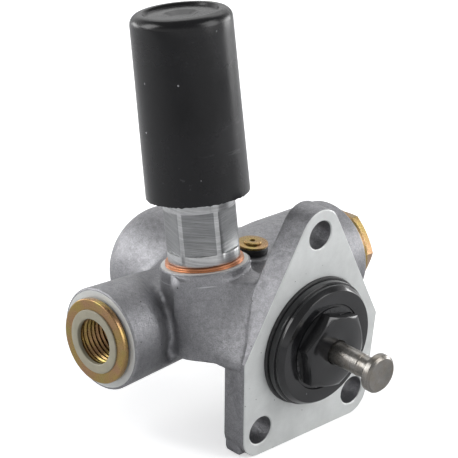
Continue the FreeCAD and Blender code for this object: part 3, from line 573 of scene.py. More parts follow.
class Finish:
    """One procedural material, built from noises in the object's own metres."""

    def __init__(self, name):
        self.material = bpy.data.materials.new(name)
        self.material.use_nodes = True
        self.tree = self.material.node_tree
        self.shader = self.tree.nodes["Principled BSDF"]
        self.coords = self.tree.nodes.new("ShaderNodeTexCoord").outputs["Object"]
        self.height = None

    def join(self, output, target):
        self.tree.links.new(output, target)

    def node(self, kind):
        return self.tree.nodes.new(kind)

    def stretched(self, turn=(0, 0, 0), scale=(1, 1, 1)):
        """The object's coordinates, turned and scaled."""
        mapping = self.node("ShaderNodeMapping")
        mapping.inputs["Rotation"].default_value = turn
        mapping.inputs["Scale"].default_value = scale
        self.join(self.coords, mapping.inputs["Vector"])
        return mapping.outputs["Vector"]

    def noise(self, size, detail=3.0, roughness=0.55, coords=None, distortion=0.0):
        """Noise whose features are about a given size in metres."""
        noise = self.node("ShaderNodeTexNoise")
        noise.inputs["Scale"].default_value = 1.0 / size
        noise.inputs["Detail"].default_value = detail
        noise.inputs["Roughness"].default_value = roughness
        noise.inputs["Distortion"].default_value = distortion
        self.join(coords or self.coords, noise.inputs["Vector"])
        return noise.outputs["Fac"]

    def spots(self, size, density_edge, soft, coords=None):
        """Scattered small spots: 1 in a spot, 0 outside."""
        cells = self.node("ShaderNodeTexVoronoi")
        cells.inputs["Scale"].default_value = 1.0 / size
        cells.inputs["Randomness"].default_value = 1.0
        self.join(coords or self.coords, cells.inputs["Vector"])
        near = self.band(cells.outputs["Distance"], density_edge + soft, density_edge)
        chosen = self.band(self.channel(cells.outputs["Color"]), 0.55, 0.6)
        return self.math("MULTIPLY", near, chosen)

    def channel(self, colour_output):
        parts = self.node("ShaderNodeSeparateColor")
        self.join(colour_output, parts.inputs["Color"])
        return parts.outputs["Red"]

    def band(self, value, start, end, low=0.0, high=1.0):
        """Maps a value from start..end to low..high and clamps it."""
        mapped = self.node("ShaderNodeMapRange")
        mapped.inputs["From Min"].default_value = start
        mapped.inputs["From Max"].default_value = end
        mapped.inputs["To Min"].default_value = low
        mapped.inputs["To Max"].default_value = high
        self.join(value, mapped.inputs["Value"])
        return mapped.outputs["Result"]

    def math(self, kind, first, second):
        step = self.node("ShaderNodeMath")
        step.operation = kind
        for index, value in enumerate((first, second)):
            if isinstance(value, (int, float)):
                step.inputs[index].default_value = value
            else:
                self.join(value, step.inputs[index])
        return step.outputs["Value"]

    def mix(self, fac, first, second, kind="MIX"):
        """Mixes two colours, each a tuple or an output."""
        step = self.node("ShaderNodeMix")
        step.data_type = "RGBA"
        step.blend_type = kind
        if isinstance(fac, (int, float)):
            step.inputs["Factor"].default_value = fac
        else:
            self.join(fac, step.inputs["Factor"])
        for name, value in (("A", first), ("B", second)):
            socket = next(s for s in step.inputs if s.name == name and s.type == "RGBA")
            if hasattr(value, "is_linked"):
                self.join(value, socket)
            else:
                socket.default_value = (*value, 1.0)
        return next(s for s in step.outputs if s.type == "RGBA")

    def paint(self, output):
        self.join(output, self.shader.inputs["Base Color"])

    def dull(self, output):
        self.join(output, self.shader.inputs["Roughness"])

    def relief(self, output, depth):
        """Adds one layer of bump of a given depth in metres."""
        bump = self.node("ShaderNodeBump")
        bump.inputs["Distance"].default_value = depth
        bump.inputs["Strength"].default_value = 1.0
        self.join(output, bump.inputs["Height"])
        if self.height:
            self.join(self.height, bump.inputs["Normal"])
        self.height = bump.outputs["Normal"]
        self.join(self.height, self.shader.inputs["Normal"])

    def set(self, **values):
        for name, value in values.items():
            self.shader.inputs[name.replace("_", " ")].default_value = value


def tone(base, factor):
    return tuple(min(1.0, part * factor) for part in base)


def painted_lip_highlight(finish):
    """Painted highlight: 1 on a thin line below the rim of the primer boss, where the step of its
    turned band would catch the light.
    """
    sizes = casting()
    places = primer_axis().inverted()
    mapping = finish.node("ShaderNodeMapping")
    mapping.inputs["Location"].default_value = places.translation
    mapping.inputs["Rotation"].default_value = places.to_euler()
    finish.join(finish.coords, mapping.inputs["Vector"])
    parts = finish.node("ShaderNodeSeparateXYZ")
    finish.join(mapping.outputs["Vector"], parts.inputs["Vector"])
    along = finish.math("SUBTRACT", parts.outputs["X"], sizes.boss_top - sizes.boss_lip)
    across = finish.math("POWER", parts.outputs["Y"], 2.0)
    across = finish.math("ADD", across, finish.math("POWER", parts.outputs["Z"], 2.0))
    radial = finish.math("SQRT", across, 0.0)
    wander = 0.3 * MM
    crisp, faded = 0.06 * MM, 0.22 * MM
    wall, past_wall = sizes.boss_skin + 0.4 * MM, sizes.boss_skin + 0.6 * MM
    wobble = finish.math("MULTIPLY", finish.noise(5 * MM), wander)
    near = finish.math("ABSOLUTE", finish.math("ADD", along, wobble), 0.0)
    on_wall = finish.band(radial, wall, past_wall, 1.0, 0.0)
    return finish.math("MULTIPLY", finish.band(near, crisp, faded, 0.8, 0.0), on_wall)


def cast_finish():
    """Blasted aluminium casting: mottled grey, fine grain, dark pits, pale rubbed spots."""
    base = tuple(casting().cast_colour)
    finish = Finish("cast_aluminium")
    patches = finish.noise(14 * MM, 4.0, 0.6)
    mottle = finish.noise(1.6 * MM, 4.0, 0.7)
    grain = finish.noise(0.35 * MM, 3.0, 0.7)
    pits = finish.spots(3.4 * MM, 0.05, 0.03)
    shade_fac = finish.band(patches, 0.32, 0.68)
    body = finish.mix(shade_fac, tone(base, 0.86), tone(base, 1.14))
    body = finish.mix(finish.band(mottle, 0.35, 0.7, 0.0, 0.7), body, tone(base, 1.5))
    body = finish.mix(finish.band(grain, 0.45, 0.7, 0.0, 0.6), body, tone(base, 0.5))
    body = finish.mix(pits, body, tone(base, 0.12))
    # painted highlight: a bright line along the lip of the boss's turned band
    body = finish.mix(painted_lip_highlight(finish), body, tone(base, 2.4))
    finish.paint(body)
    finish.set(Metallic=0.8)
    finish.dull(finish.band(mottle, 0.3, 0.7, 0.46, 0.30))
    finish.relief(grain, 0.14 * MM)
    finish.relief(mottle, 0.22 * MM)
    return finish.material


def milled_finish():
    """Milled aluminium face: pale, faint cutter marks, small pits and grey smudges."""
    base = tuple(casting().milled_colour)
    finish = Finish("milled_aluminium")
    patches = finish.noise(9 * MM, 4.0, 0.6)
    grain = finish.noise(0.5 * MM, 3.0, 0.7)
    strokes = finish.noise(0.25 * MM, 2.0, 0.6, finish.stretched((0.5, 0, 0), (1, 0.02, 1)))
    pits = finish.spots(2.6 * MM, 0.045, 0.03)
    body = finish.mix(finish.band(patches, 0.3, 0.7), tone(base, 0.90), tone(base, 1.08))
    body = finish.mix(finish.band(grain, 0.55, 0.8, 0.0, 0.4), body, tone(base, 0.80))
    body = finish.mix(pits, body, tone(base, 0.15))
    finish.paint(body)
    finish.set(Metallic=0.35)
    finish.dull(finish.band(strokes, 0.3, 0.7, 0.42, 0.56))
    finish.relief(strokes, 0.012 * MM)
    finish.relief(grain, 0.03 * MM)
    return finish.material


def turned_finish(name, base, turn):
    """Turned or milled aluminium with fine lines across the axis."""
    finish = Finish(name)
    lines = finish.noise(0.28 * MM, 3.0, 0.7, finish.stretched(turn, (0.02, 0.02, 1)))
    coarse = finish.noise(1.1 * MM, 2.0, 0.6, finish.stretched(turn, (0.04, 0.04, 1)))
    patches = finish.noise(7 * MM, 3.0, 0.6)
    grain = finish.noise(0.4 * MM, 3.0, 0.7)
    body = finish.mix(finish.band(lines, 0.35, 0.65), tone(base, 0.62), tone(base, 1.22))
    body = finish.mix(finish.band(coarse, 0.45, 0.7, 0.0, 0.6), body, tone(base, 0.66))
    body = finish.mix(finish.band(patches, 0.4, 0.7, 0.0, 0.35), body, tone(base, 1.2))
    finish.paint(body)
    finish.set(Metallic=0.85)
    finish.dull(finish.band(grain, 0.3, 0.7, 0.26, 0.38))
    finish.relief(lines, 0.03 * MM)
    return finish.material


def black_steel_finish():
    """Glossy blackened steel with turning marks and a few rubbed specks."""
    base = tuple(nut().black_colour)
    finish = Finish("black_steel")
    patches = finish.noise(6 * MM, 4.0, 0.6)
    specks = finish.spots(3.0 * MM, 0.05, 0.03)
    grain = finish.noise(0.5 * MM, 3.0, 0.7)
    body = finish.mix(finish.band(patches, 0.35, 0.7), tone(base, 0.7), tone(base, 1.9))
    body = finish.mix(specks, body, (0.25, 0.25, 0.26))
    finish.paint(body)
    finish.set(Metallic=0.0, IOR=1.45, Coat_Weight=0.25, Coat_Roughness=0.06)
    finish.dull(finish.band(patches, 0.3, 0.7, 0.12, 0.24))
    finish.relief(grain, 0.012 * MM)
    return finish.material


def ground_steel_finish():
    """Ground steel: streaks round the pin, brownish stain on the face."""
    base = tuple(nut().steel_colour)
    finish = Finish("bare_steel")
    streaks = finish.noise(0.3 * MM, 3.0, 0.7, finish.stretched((0, 0, 0), (1, 0.04, 0.04)))
    stain = finish.noise(3.2 * MM, 4.0, 0.65)
    grain = finish.noise(0.3 * MM, 3.0, 0.7)
    body = finish.mix(finish.band(streaks, 0.3, 0.7), tone(base, 0.72), tone(base, 1.15))
    body = finish.mix(finish.band(stain, 0.45, 0.72, 0.0, 0.5), body, (0.20, 0.165, 0.12))
    finish.paint(body)
    finish.set(Metallic=0.9)
    finish.dull(finish.band(grain, 0.3, 0.7, 0.24, 0.36))
    finish.relief(streaks, 0.015 * MM)
    finish.relief(grain, 0.010 * MM)
    return finish.material


def zinc_finish():
    """Yellow passivated zinc: gold that drifts to pink and green."""
    sizes = ports()
    finish = Finish("yellow_zinc")
    drift = finish.noise(6.5 * MM, 3.0, 0.55)
    second = finish.noise(9 * MM, 2.0, 0.5, finish.stretched((0.4, 1.1, 0.2)))
    grain = finish.noise(0.4 * MM, 3.0, 0.7)
    body = finish.mix(finish.band(drift, 0.40, 0.62), tuple(sizes.zinc_colour),
                      tuple(sizes.zinc_tint))
    body = finish.mix(finish.band(second, 0.55, 0.68, 0.0, 0.8), body,
                      tuple(sizes.zinc_green))
    body = finish.mix(finish.band(grain, 0.5, 0.75, 0.0, 0.35), body,
                      tone(sizes.zinc_colour, 0.6))
    finish.paint(body)
    finish.set(Metallic=0.85)
    finish.dull(finish.band(grain, 0.3, 0.7, 0.22, 0.36))
    finish.relief(grain, 0.02 * MM)
    return finish.material


def copper_finish():
    """Bright copper with fine turning lines and darker oxide."""
    base = tuple(primer().copper_colour)
    finish = Finish("copper")
    patches = finish.noise(3 * MM, 4.0, 0.6)
    grain = finish.noise(0.25 * MM, 3.0, 0.7)
    body = finish.mix(finish.band(patches, 0.35, 0.7), base, tone(base, 0.62))
    body = finish.mix(finish.band(grain, 0.5, 0.75, 0.0, 0.4), body, tone(base, 1.3))
    finish.paint(body)
    finish.set(Metallic=0.9)
    finish.dull(finish.band(grain, 0.3, 0.7, 0.24, 0.4))
    finish.relief(grain, 0.02 * MM)
    return finish.material


def white_ring_finish():
    """Pale moulded ring with faint grey-green staining."""
    base = tuple(ports().white_colour)
    finish = Finish("white_ring")
    patches = finish.noise(4 * MM, 4.0, 0.6)
    grain = finish.noise(0.3 * MM, 3.0, 0.7)
    body = finish.mix(finish.band(patches, 0.3, 0.75), tone(base, 1.08), tone(base, 0.84))
    finish.paint(body)
    finish.set(Metallic=0.0)
    finish.dull(finish.band(grain, 0.3, 0.7, 0.34, 0.46))
    finish.relief(grain, 0.012 * MM)
    return finish.material


def rubber_finish():
    """Black rubber, matt, with pale dust."""
    base = tuple(nut().rubber_colour)
    finish = Finish("black_rubber")
    dust = finish.noise(1.4 * MM, 4.0, 0.65)
    grain = finish.noise(0.3 * MM, 3.0, 0.7)
    body = finish.mix(finish.band(dust, 0.45, 0.8, 0.0, 0.5), base, (0.09, 0.09, 0.088))
    finish.paint(body)
    finish.dull(finish.band(dust, 0.3, 0.7, 0.42, 0.6))
    finish.relief(grain, 0.03 * MM)
    return finish.material


def plastic_finish():
    """Satin black plastic: faint moulded grain, dust specks and light scuffs."""
    base = tuple(primer().plastic_colour)
    finish = Finish("black_plastic")
    patches = finish.noise(16 * MM, 4.0, 0.6)
    grain = finish.noise(0.5 * MM, 3.0, 0.7)
    specks = finish.spots(4.5 * MM, 0.045, 0.03)
    scuff_field = finish.noise(2.5 * MM, 4.0, 0.7, finish.stretched((0.5, 0.3, 0.8), (1, 0.12, 1)))
    scuffs = finish.math("MULTIPLY", finish.band(scuff_field, 0.62, 0.72),
                         finish.band(patches, 0.52, 0.62))
    body = finish.mix(finish.band(patches, 0.3, 0.7), tone(base, 0.75), tone(base, 1.6))
    body = finish.mix(finish.math("MULTIPLY", scuffs, 0.35), body, (0.12, 0.12, 0.125))
    body = finish.mix(specks, body, (0.34, 0.34, 0.35))
    finish.paint(body)
    finish.set(Metallic=0.0, IOR=1.42)
    finish.dull(finish.band(patches, 0.3, 0.7, 0.20, 0.32))
    finish.relief(grain, 0.02 * MM)
    return finish.material


def plain_metal_finish(name, base, rough, metallic):
    """Even finish of an inner piece: slight tone and roughness changes."""
    finish = Finish(name)
    patches = finish.noise(2.5 * MM, 3.0, 0.6)
    grain = finish.noise(0.3 * MM, 3.0, 0.7)
    finish.paint(finish.mix(finish.band(patches, 0.3, 0.7), tone(base, 0.85), tone(base, 1.12)))
    finish.set(Metallic=metallic)
    finish.dull(finish.band(grain, 0.3, 0.7, rough - 0.05, rough + 0.08))
    finish.relief(grain, 0.015 * MM)
    return finish.material


_finishes = {}


def finish_of(slot):
    """The finish of a material slot, made once."""
    if slot not in _finishes:
        _finishes[slot] = FINISHES[slot]()
    return _finishes[slot]


FINISHES = {
    "cast_aluminium": cast_finish,
    "milled_aluminium": milled_finish,
    "turned_aluminium": lambda: turned_finish(
        "turned_aluminium", tuple(primer().turned_colour), (0, -primer().lean, 0)),
    "milled_flat": lambda: turned_finish(
        "milled_flat", tuple(primer().flat_colour), (0, -primer().lean, 0)),
    "black_steel": black_steel_finish,
    "bare_steel": ground_steel_finish,
    "yellow_zinc": zinc_finish,
    "copper": copper_finish,
    "white_ring": white_ring_finish,
    "black_rubber": rubber_finish,
    "black_plastic": plastic_finish,
    "spring_steel": lambda: plain_metal_finish("spring_steel", (0.30, 0.30, 0.31), 0.3, 0.9),
    "valve_brass": lambda: plain_metal_finish("valve_brass", (0.60, 0.42, 0.16), 0.3, 0.9),
    "valve_plastic": lambda: plain_metal_finish("valve_plastic", (0.55, 0.48, 0.33), 0.45, 0.0),
}


# Cast skin: distances to the forms of the casting, blended as cast fillets are.


def blend_forms(first, second, fillet):
    """Union of two forms with a fillet between them."""
    share_of = np.clip(0.5 + 0.5 * (second - first) / fillet, 0.0, 1.0)
    return second * (1 - share_of) + first * share_of - fillet * share_of * (1 - share_of)


def one_ended(along, radial, low, skin, corner):
    """A cylinder whose low end is rounded."""
    past = low + corner - along
    out = radial - skin + corner
    inside = np.minimum(np.maximum(past, out), 0.0)
    return inside + np.hypot(np.maximum(past, 0.0), np.maximum(out, 0.0)) - corner


def cylinder_form(points, sizes):
    x, y, z = points.T
    skin = np.interp(x, [-sizes.neck_end - sizes.neck_shoulder, -sizes.neck_end],
                     [sizes.cylinder_skin, sizes.neck_skin])
    form = one_ended(x, np.hypot(y, z), -sizes.cylinder_reach, skin, sizes.dome_corner)
    return np.maximum(form, x + sizes.skin_start)


def soft_step(value, start, end):
    part = np.clip((value - start) / (end - start), 0.0, 1.0)
    return part * part * (3 - 2 * part)


def boss_valley(points, sizes):
    """How deep the inlet boss is hollowed beside the wall of the primer boss."""
    along, radial = primer_place(points)
    near = 1 - soft_step(radial, sizes.boss_skin, sizes.boss_skin + sizes.valley_wide)
    foot = -sizes.boss_foot
    above = soft_step(along, foot - 2 * MM, foot + 3 * MM)
    return sizes.valley_deep * near * above * (points[:, 1] < 0)


def port_form(points, sizes):
    x, y, z = points.T
    radial = np.hypot(x + sizes.port_back, z)
    stations = [-sizes.inlet_face, -sizes.port_root_side, sizes.port_root_side,
                sizes.outlet_face]
    skins = [sizes.inlet_rim, sizes.inlet_root, sizes.outlet_root, sizes.outlet_rim]
    form = radial - np.interp(y, stations, skins) + boss_valley(points, sizes)
    form = np.maximum(form, -y - sizes.inlet_face - OVER)
    return np.maximum(form, y - sizes.outlet_face - OVER)


def plug_boss_form(points):
    x, y, z = points.T
    sizes = plug()
    radial = np.hypot(x + sizes.back, y - sizes.side)
    form = np.maximum(radial - sizes.boss_skin, sizes.boss_foot - z)
    return np.maximum(form, z - sizes.seat - CLEARANCE)


def primer_place(points):
    """Distance along and from the primer axis."""
    turned = np.array(primer_axis().inverted())
    local = points @ turned[:3, :3].T + turned[:3, 3]
    return local[:, 0], np.hypot(local[:, 1], local[:, 2])


def boss_form(points, sizes):
    along, radial = primer_place(points)
    form = one_ended(along, radial, -sizes.boss_foot, sizes.boss_skin + sizes.boss_step,
                     sizes.boss_foot_corner)
    return np.maximum(form, along - sizes.boss_top - OVER)


def side_slope(sizes):
    """Lean of the flange's upper side wall, from the upright."""
    wide = sizes.flange_half_width
    tall = sizes.top_bolt_rise - sizes.flange_wide_rise
    return math.atan2(wide, tall) - math.asin(sizes.peak_corner / math.hypot(wide, tall))


def web_form(points, sizes):
    """Web whose skin runs from the flange's side wall to the primer boss as a tangent."""
    x, y, z = points.T
    rise = np.clip(z, -sizes.web_foot_drop, sizes.web_top_rise)
    edge_x = -sizes.web_foot_back - sizes.web_lean * rise
    edge_y = -sizes.flange_half_width + np.where(
        rise > sizes.flange_wide_rise,
        (rise - sizes.flange_wide_rise) * math.tan(side_slope(sizes)), 0.0)
    centre_x = -primer().back - np.tan(primer().lean) * rise
    centre_y = -primer().side
    reach = np.hypot(centre_x - edge_x, centre_y - edge_y)
    to_centre = np.arctan2(centre_y - edge_y, centre_x - edge_x)
    skin = sizes.boss_skin + sizes.boss_step
    tangent = to_centre + np.arcsin(skin / reach)
    normal_x = -np.sin(tangent)
    normal_y = np.cos(tangent)
    form = (x - edge_x) * normal_x + (y - edge_y) * normal_y
    along, _ = primer_place(points)
    form = np.maximum(form, x - edge_x)
    form = np.maximum(form, centre_x - x)
    form = np.maximum(form, -sizes.boss_foot - along)
    form = np.maximum(form, z - sizes.web_top_rise)
    return np.maximum(form, y + sizes.web_side)


def flange_form(points, sizes):
    """The flange plate, drawn in a little so that the crisp plate covers it."""
    x, y, z = points.T
    slope = side_slope(sizes)
    side = np.abs(y)
    upper = (side - sizes.flange_half_width) * math.cos(slope)
    upper = upper + (z - sizes.flange_wide_rise) * math.sin(slope)
    drop = sizes.foot_drop + sizes.flange_wide_rise
    low_turn = math.atan2(sizes.flange_half_width - sizes.foot_half_width, drop)
    lower = (side - sizes.flange_half_width) * math.cos(low_turn)
    lower = lower - (z - sizes.flange_wide_rise) * math.sin(low_turn)
    form = np.maximum(upper, lower)
    form = np.maximum(form, -z - sizes.foot_drop)
    form = np.maximum(form, z - sizes.top_bolt_rise - sizes.peak_corner)
    form = np.maximum(form, -x - sizes.flange_thick)
    return np.maximum(form, x + sizes.skin_start) + sizes.plate_inset


def casting_form(points, sizes):
    """Signed distance to the whole cast skin."""
    form = blend_forms(cylinder_form(points, sizes), port_form(points, sizes),
                       sizes.port_fillet)
    form = blend_forms(form, plug_boss_form(points), sizes.plug_fillet)
    form = blend_forms(form, boss_form(points, sizes), sizes.boss_fillet)
    form = blend_forms(form, web_form(points, sizes), sizes.web_fillet)
    return blend_forms(form, flange_form(points, sizes), sizes.flange_fillet)


def casting_seed(sizes):
    """Plain forms joined in one mesh, as a start for the skin."""
    reach = sizes.cylinder_reach
    corner = sizes.dome_corner
    start = -sizes.skin_start
    hollow = sizes.inlet_root - sizes.valley_deep
    pieces = [
        lathe("seed_cylinder", [(-reach, 0), (-reach, sizes.cylinder_skin, corner),
                                (start, sizes.cylinder_skin), (start, 0)],
              tappet_axis(), 96, 8),
        lathe("seed_ports", [(-sizes.inlet_face - OVER, 0),
                             (-sizes.inlet_face - OVER, sizes.inlet_rim),
                             (-sizes.inlet_face + 6 * MM, sizes.inlet_rim),
                             (-sizes.inlet_face + 12 * MM, hollow),
                             (-sizes.port_root_side, hollow),
                             (sizes.port_root_side, sizes.outlet_root),
                             (sizes.outlet_face + OVER, sizes.outlet_rim),
                             (sizes.outlet_face + OVER, 0)], outlet_axis(), 96, 8),
        lathe("seed_plug_boss", [(plug().boss_foot, 0), (plug().boss_foot, plug().boss_skin),
                                 (plug().seat, plug().boss_skin), (plug().seat, 0)],
              plug_axis(), 64, 2),
        lathe("seed_boss", [(-sizes.boss_foot, 0), (-sizes.boss_foot, sizes.boss_skin, 1 * MM),
                            (sizes.boss_top + OVER, sizes.boss_skin),
                            (sizes.boss_top + OVER, 0)], primer_axis(), 96, 4),
    ]
    side = sizes.flange_half_width - OVER
    web = [(-primer().back, -sizes.boss_foot), (start, 0.0),
           (-8 * MM, sizes.web_top_rise), (-primer().back, sizes.web_top_rise)]
    turned = axis_frame((0, 0, 0), (0, 0, 1), -math.pi / 2)
    pieces.append(prism("seed_web", web, sizes.web_side, side, turned))
    foot = -sizes.foot_drop + OVER
    peak = (5 * MM, 37 * MM)
    plate = [(sizes.foot_half_width, foot), (side, 0.0), peak,
             (-peak[0], peak[1]), (-side, 0.0), (-sizes.foot_half_width, foot)]
    pieces.append(prism("seed_plate", plate, -sizes.flange_thick, start, tappet_axis()))
    first = pieces[0]
    for other in pieces[1:]:
        carve(first, other, "UNION")
    return first


def cast_skin(sizes):
    """The skin: a fine even mesh drawn onto the blended form."""
    skin = casting_seed(sizes)
    skin.name = "housing"
    for _ in range(2):
        even_cells(skin, sizes)
        draw_onto_form(skin.data, sizes)
    return skin


def even_cells(skin, sizes):
    step = skin.modifiers.new("cells", "REMESH")
    step.mode = "VOXEL"
    step.voxel_size = sizes.skin_cell
    settle(skin)


def draw_onto_form(mesh, sizes):
    """Moves the mesh onto the blended form and evens out its vertices."""
    count = len(mesh.vertices)
    flat = np.empty(count * 3)
    mesh.vertices.foreach_get("co", flat)
    points = flat.reshape(count, 3)
    nudge = 0.05 * MM
    longest_move = 1 * MM
    for _ in range(5):
        for _ in range(3):
            distance = casting_form(points, sizes)
            slope = np.empty_like(points)
            for axis in range(3):
                shifted = points.copy()
                shifted[:, axis] += nudge
                slope[:, axis] = (casting_form(shifted, sizes) - distance) / nudge
            size = np.maximum((slope ** 2).sum(axis=1), 0.2)
            move = (distance / size)[:, None] * slope
            reach = np.linalg.norm(move, axis=1)
            limit = np.minimum(1.0, longest_move / np.maximum(reach, 1e-9))
            points = points - move * limit[:, None]
        points = relax(mesh, points)
    mesh.vertices.foreach_set("co", points.ravel())
    mesh.update()


def relax(mesh, points):
    """Evens out the spacing of the vertices."""
    ends = np.empty(len(mesh.edges) * 2, dtype=np.int64)
    mesh.edges.foreach_get("vertices", ends)
    ends = ends.reshape(-1, 2)
    total = np.zeros_like(points)
    number = np.zeros(len(points))
    for first, second in ((0, 1), (1, 0)):
        np.add.at(total, ends[:, first], points[ends[:, second]])
        np.add.at(number, ends[:, first], 1)
    return points * 0.5 + total / number[:, None] * 0.5


def flange_outline(sizes):
    rise = sizes.flange_wide_rise + sizes.flange_half_width / math.tan(side_slope(sizes))
    return rounded_corners([
        (sizes.foot_half_width, -sizes.foot_drop, sizes.foot_corner),
        (sizes.flange_half_width, sizes.flange_wide_rise, sizes.side_corner),
        (0, rise, sizes.peak_corner),
        (-sizes.flange_half_width, sizes.flange_wide_rise, sizes.side_corner),
        (-sizes.foot_half_width, -sizes.foot_drop, sizes.foot_corner),
    ], 12)


def drawn_in(outline, inset):
    """The outline moved inwards."""
    count = len(outline)
    moved = []
    for index, here in enumerate(outline):
        before = (here - outline[index - 1]).normalized()
        after = (outline[(index + 1) % count] - here).normalized()
        along = (before + after).normalized()
        moved.append(here + Vector((-along.y, along.x)) * inset)
    return moved


def flange_plate(sizes):
    """Crisp plate: broken front edge, cast rounding at the back."""
    outline = flange_outline(sizes)
    levels = []
    for step in range(6):
        turn = math.pi / 2 * step / 5
        levels.append((-sizes.flange_thick + sizes.back_edge * (1 - math.sin(turn)),
                       sizes.back_edge * (1 - math.cos(turn))))
    levels.reverse()
    levels += [(-sizes.front_edge, 0.0), (0.0, sizes.front_edge)]
    rings = [[Vector((x, y, z)) for y, z in drawn_in(outline, inset)] for x, inset in levels]
    count = len(outline)
    vertices = [corner for ring in rings for corner in ring]
    faces = [tuple(range(count)), tuple(range(count * (len(rings) - 1), count * len(rings)))]
    for level in range(len(rings) - 1):
        for index in range(count):
            after = (index + 1) % count
            low = level * count
            faces.append((low + index, low + after, low + count + after, low + count + index))
    return mesh_piece("flange_plate", vertices, faces)


def face_cutter(name, face, rim, edge, frame_matrix, reach=8 * MM, spare=1.5 * MM):
    """Turns a face and the band below it: all that lies past the face or outside the rim."""
    outside = rim + spare
    corners = [(face, 0), (face, rim - edge)]
    for step in range(1, 5):
        turn = math.pi / 2 * step / 4
        corners.append((face - edge + edge * math.cos(turn), rim - edge + edge * math.sin(turn)))
    corners += [(face - edge, outside), (face + reach, outside), (face + reach, 0)]
    return lathe(name, corners, frame_matrix, 160)


def bolt_cutter(name, side, rise, sizes):
    chamfer = sizes.bolt_chamfer
    rim = sizes.bolt_hole + chamfer
    end = -sizes.flange_thick - 12 * MM
    return lathe(name, [
        (OVER, 0), (OVER, rim + OVER), (0.0, rim), (-chamfer, sizes.bolt_hole),
        (end, sizes.bolt_hole), (end, 0),
    ], axis_frame((0, side, rise), (1, 0, 0), 0.0), 64)


def bore(name, steps, frame_matrix, segments=96):
    """A stepped bore: (along, radius) pairs from the mouth inwards."""
    corners = [(steps[0][0], 0)] + list(steps) + [(steps[-1][0], 0)]
    return lathe(name, corners, frame_matrix, segments)


def machine_housing(housing, sizes):
    """Faces, holes and bores that are cut after casting."""
    port = ports()
    top = primer()
    small = plug()
    screwed = port.thread_skin + CLEARANCE
    end_gap = sizes.bore_end_gap
    carve(housing, face_cutter("turn_inlet", sizes.inlet_face, sizes.inlet_rim,
                               sizes.rim_edge, inlet_axis()))
    carve(housing, face_cutter("turn_outlet", sizes.outlet_face, sizes.outlet_rim,
                               sizes.rim_edge, outlet_axis()))
    carve(housing, face_cutter("turn_boss", sizes.boss_top, sizes.boss_skin,
                               sizes.boss_edge, primer_axis(), spare=0.7 * MM))
    for name, side, rise in (("bolt_left", -sizes.low_bolt_side, -sizes.low_bolt_drop),
                             ("bolt_right", sizes.low_bolt_side, -sizes.low_bolt_drop),
                             ("bolt_top", 0.0, sizes.top_bolt_rise)):
        carve(housing, bolt_cutter(name, side, rise, sizes))
    ring_rim = nut().ring_skin + nut().ring_seat_gap
    ring_floor = -nut().ring_seat
    nut_end = -nut().spigot_end - end_gap
    carve(housing, bore("bore_piston", [
        (OVER, ring_rim), (ring_floor, ring_rim),
        (ring_floor, nut().spigot + CLEARANCE), (nut_end, nut().spigot + CLEARANCE),
        (nut_end, sizes.piston_bore), (-sizes.piston_bore_end, sizes.piston_bore),
    ], tappet_axis()))
    inlet_end = sizes.inlet_face - port.spigot_length
    carve(housing, bore("bore_inlet", [
        (sizes.inlet_face + OVER, screwed), (inlet_end, screwed),
        (inlet_end - sizes.inlet_cone, sizes.passage),
        (sizes.inlet_passage_end, sizes.passage),
    ], inlet_axis()))
    carve(housing, bore("bore_outlet", [
        (sizes.outlet_face + OVER, screwed), (sizes.outlet_bore_start, screwed),
        (sizes.outlet_bore_start, sizes.valve_bore),
        (sizes.valve_bore_start, sizes.valve_bore),
        (sizes.valve_bore_start, sizes.passage),
        (sizes.outlet_passage_start, sizes.passage),
    ], outlet_axis()))
    spigot_foot = top.spigot_foot - end_gap
    carve(housing, bore("bore_primer", [
        (sizes.boss_top + OVER, top.spigot_skin + CLEARANCE),
        (spigot_foot, top.spigot_skin + CLEARANCE),
        (spigot_foot, sizes.primer_valve_bore),
        (sizes.primer_valve_foot, sizes.primer_valve_bore),
        (sizes.primer_valve_foot, sizes.primer_passage),
        (-sizes.primer_passage_foot, sizes.primer_passage),
    ], primer_axis()))
    stem_hole = small.stem_skin + CLEARANCE
    stem_foot = small.seat + small.ring_thick + small.washer_thick - small.stem_length
    carve(housing, bore("bore_plug", [
        (small.seat + 6 * MM, small.seat_skin), (small.seat, small.seat_skin),
        (small.seat, stem_hole), (stem_foot - end_gap, stem_hole),
    ], plug_axis()))


def mark_machined_faces(housing, sizes):
    """Gives the faces that were cut the milled finish."""
    mesh = housing.data
    mesh.materials.clear()
    mesh.materials.append(finish_of("cast_aluminium"))
    mesh.materials.append(finish_of("milled_aluminium"))
    along_primer = primer_axis().to_3x3() @ Vector((1, 0, 0))
    top = primer_axis() @ Vector((sizes.boss_top, 0, 0))
    near = 0.02 * MM
    for face in mesh.polygons:
        centre = face.center
        milled = centre.x > -sizes.front_edge - near and face.normal.x > 0.5
        milled |= centre.y < -sizes.inlet_face + near
        milled |= centre.y > sizes.outlet_face - near
        from_top = centre - top
        on_rim = from_top.length < sizes.boss_skin
        milled |= on_rim and abs(from_top.dot(along_primer)) < near
        face.material_index = 1 if milled else 0


class PUMP_OT_casting(bpy.types.Operator):
    """Model the aluminium housing with its cast fillets, bores and cut faces"""

    bl_idname = "pump.casting"
    bl_label = "Housing"

    def execute(self, context):
        sizes = casting()
        housing = cast_skin(sizes)
        carve(housing, flange_plate(sizes), "UNION")
        machine_housing(housing, sizes)
        shade(housing, 30)
        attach(housing, "pump_body")
        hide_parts("pump_housing")
        mark_machined_faces(housing, sizes)
        return {"FINISHED"}


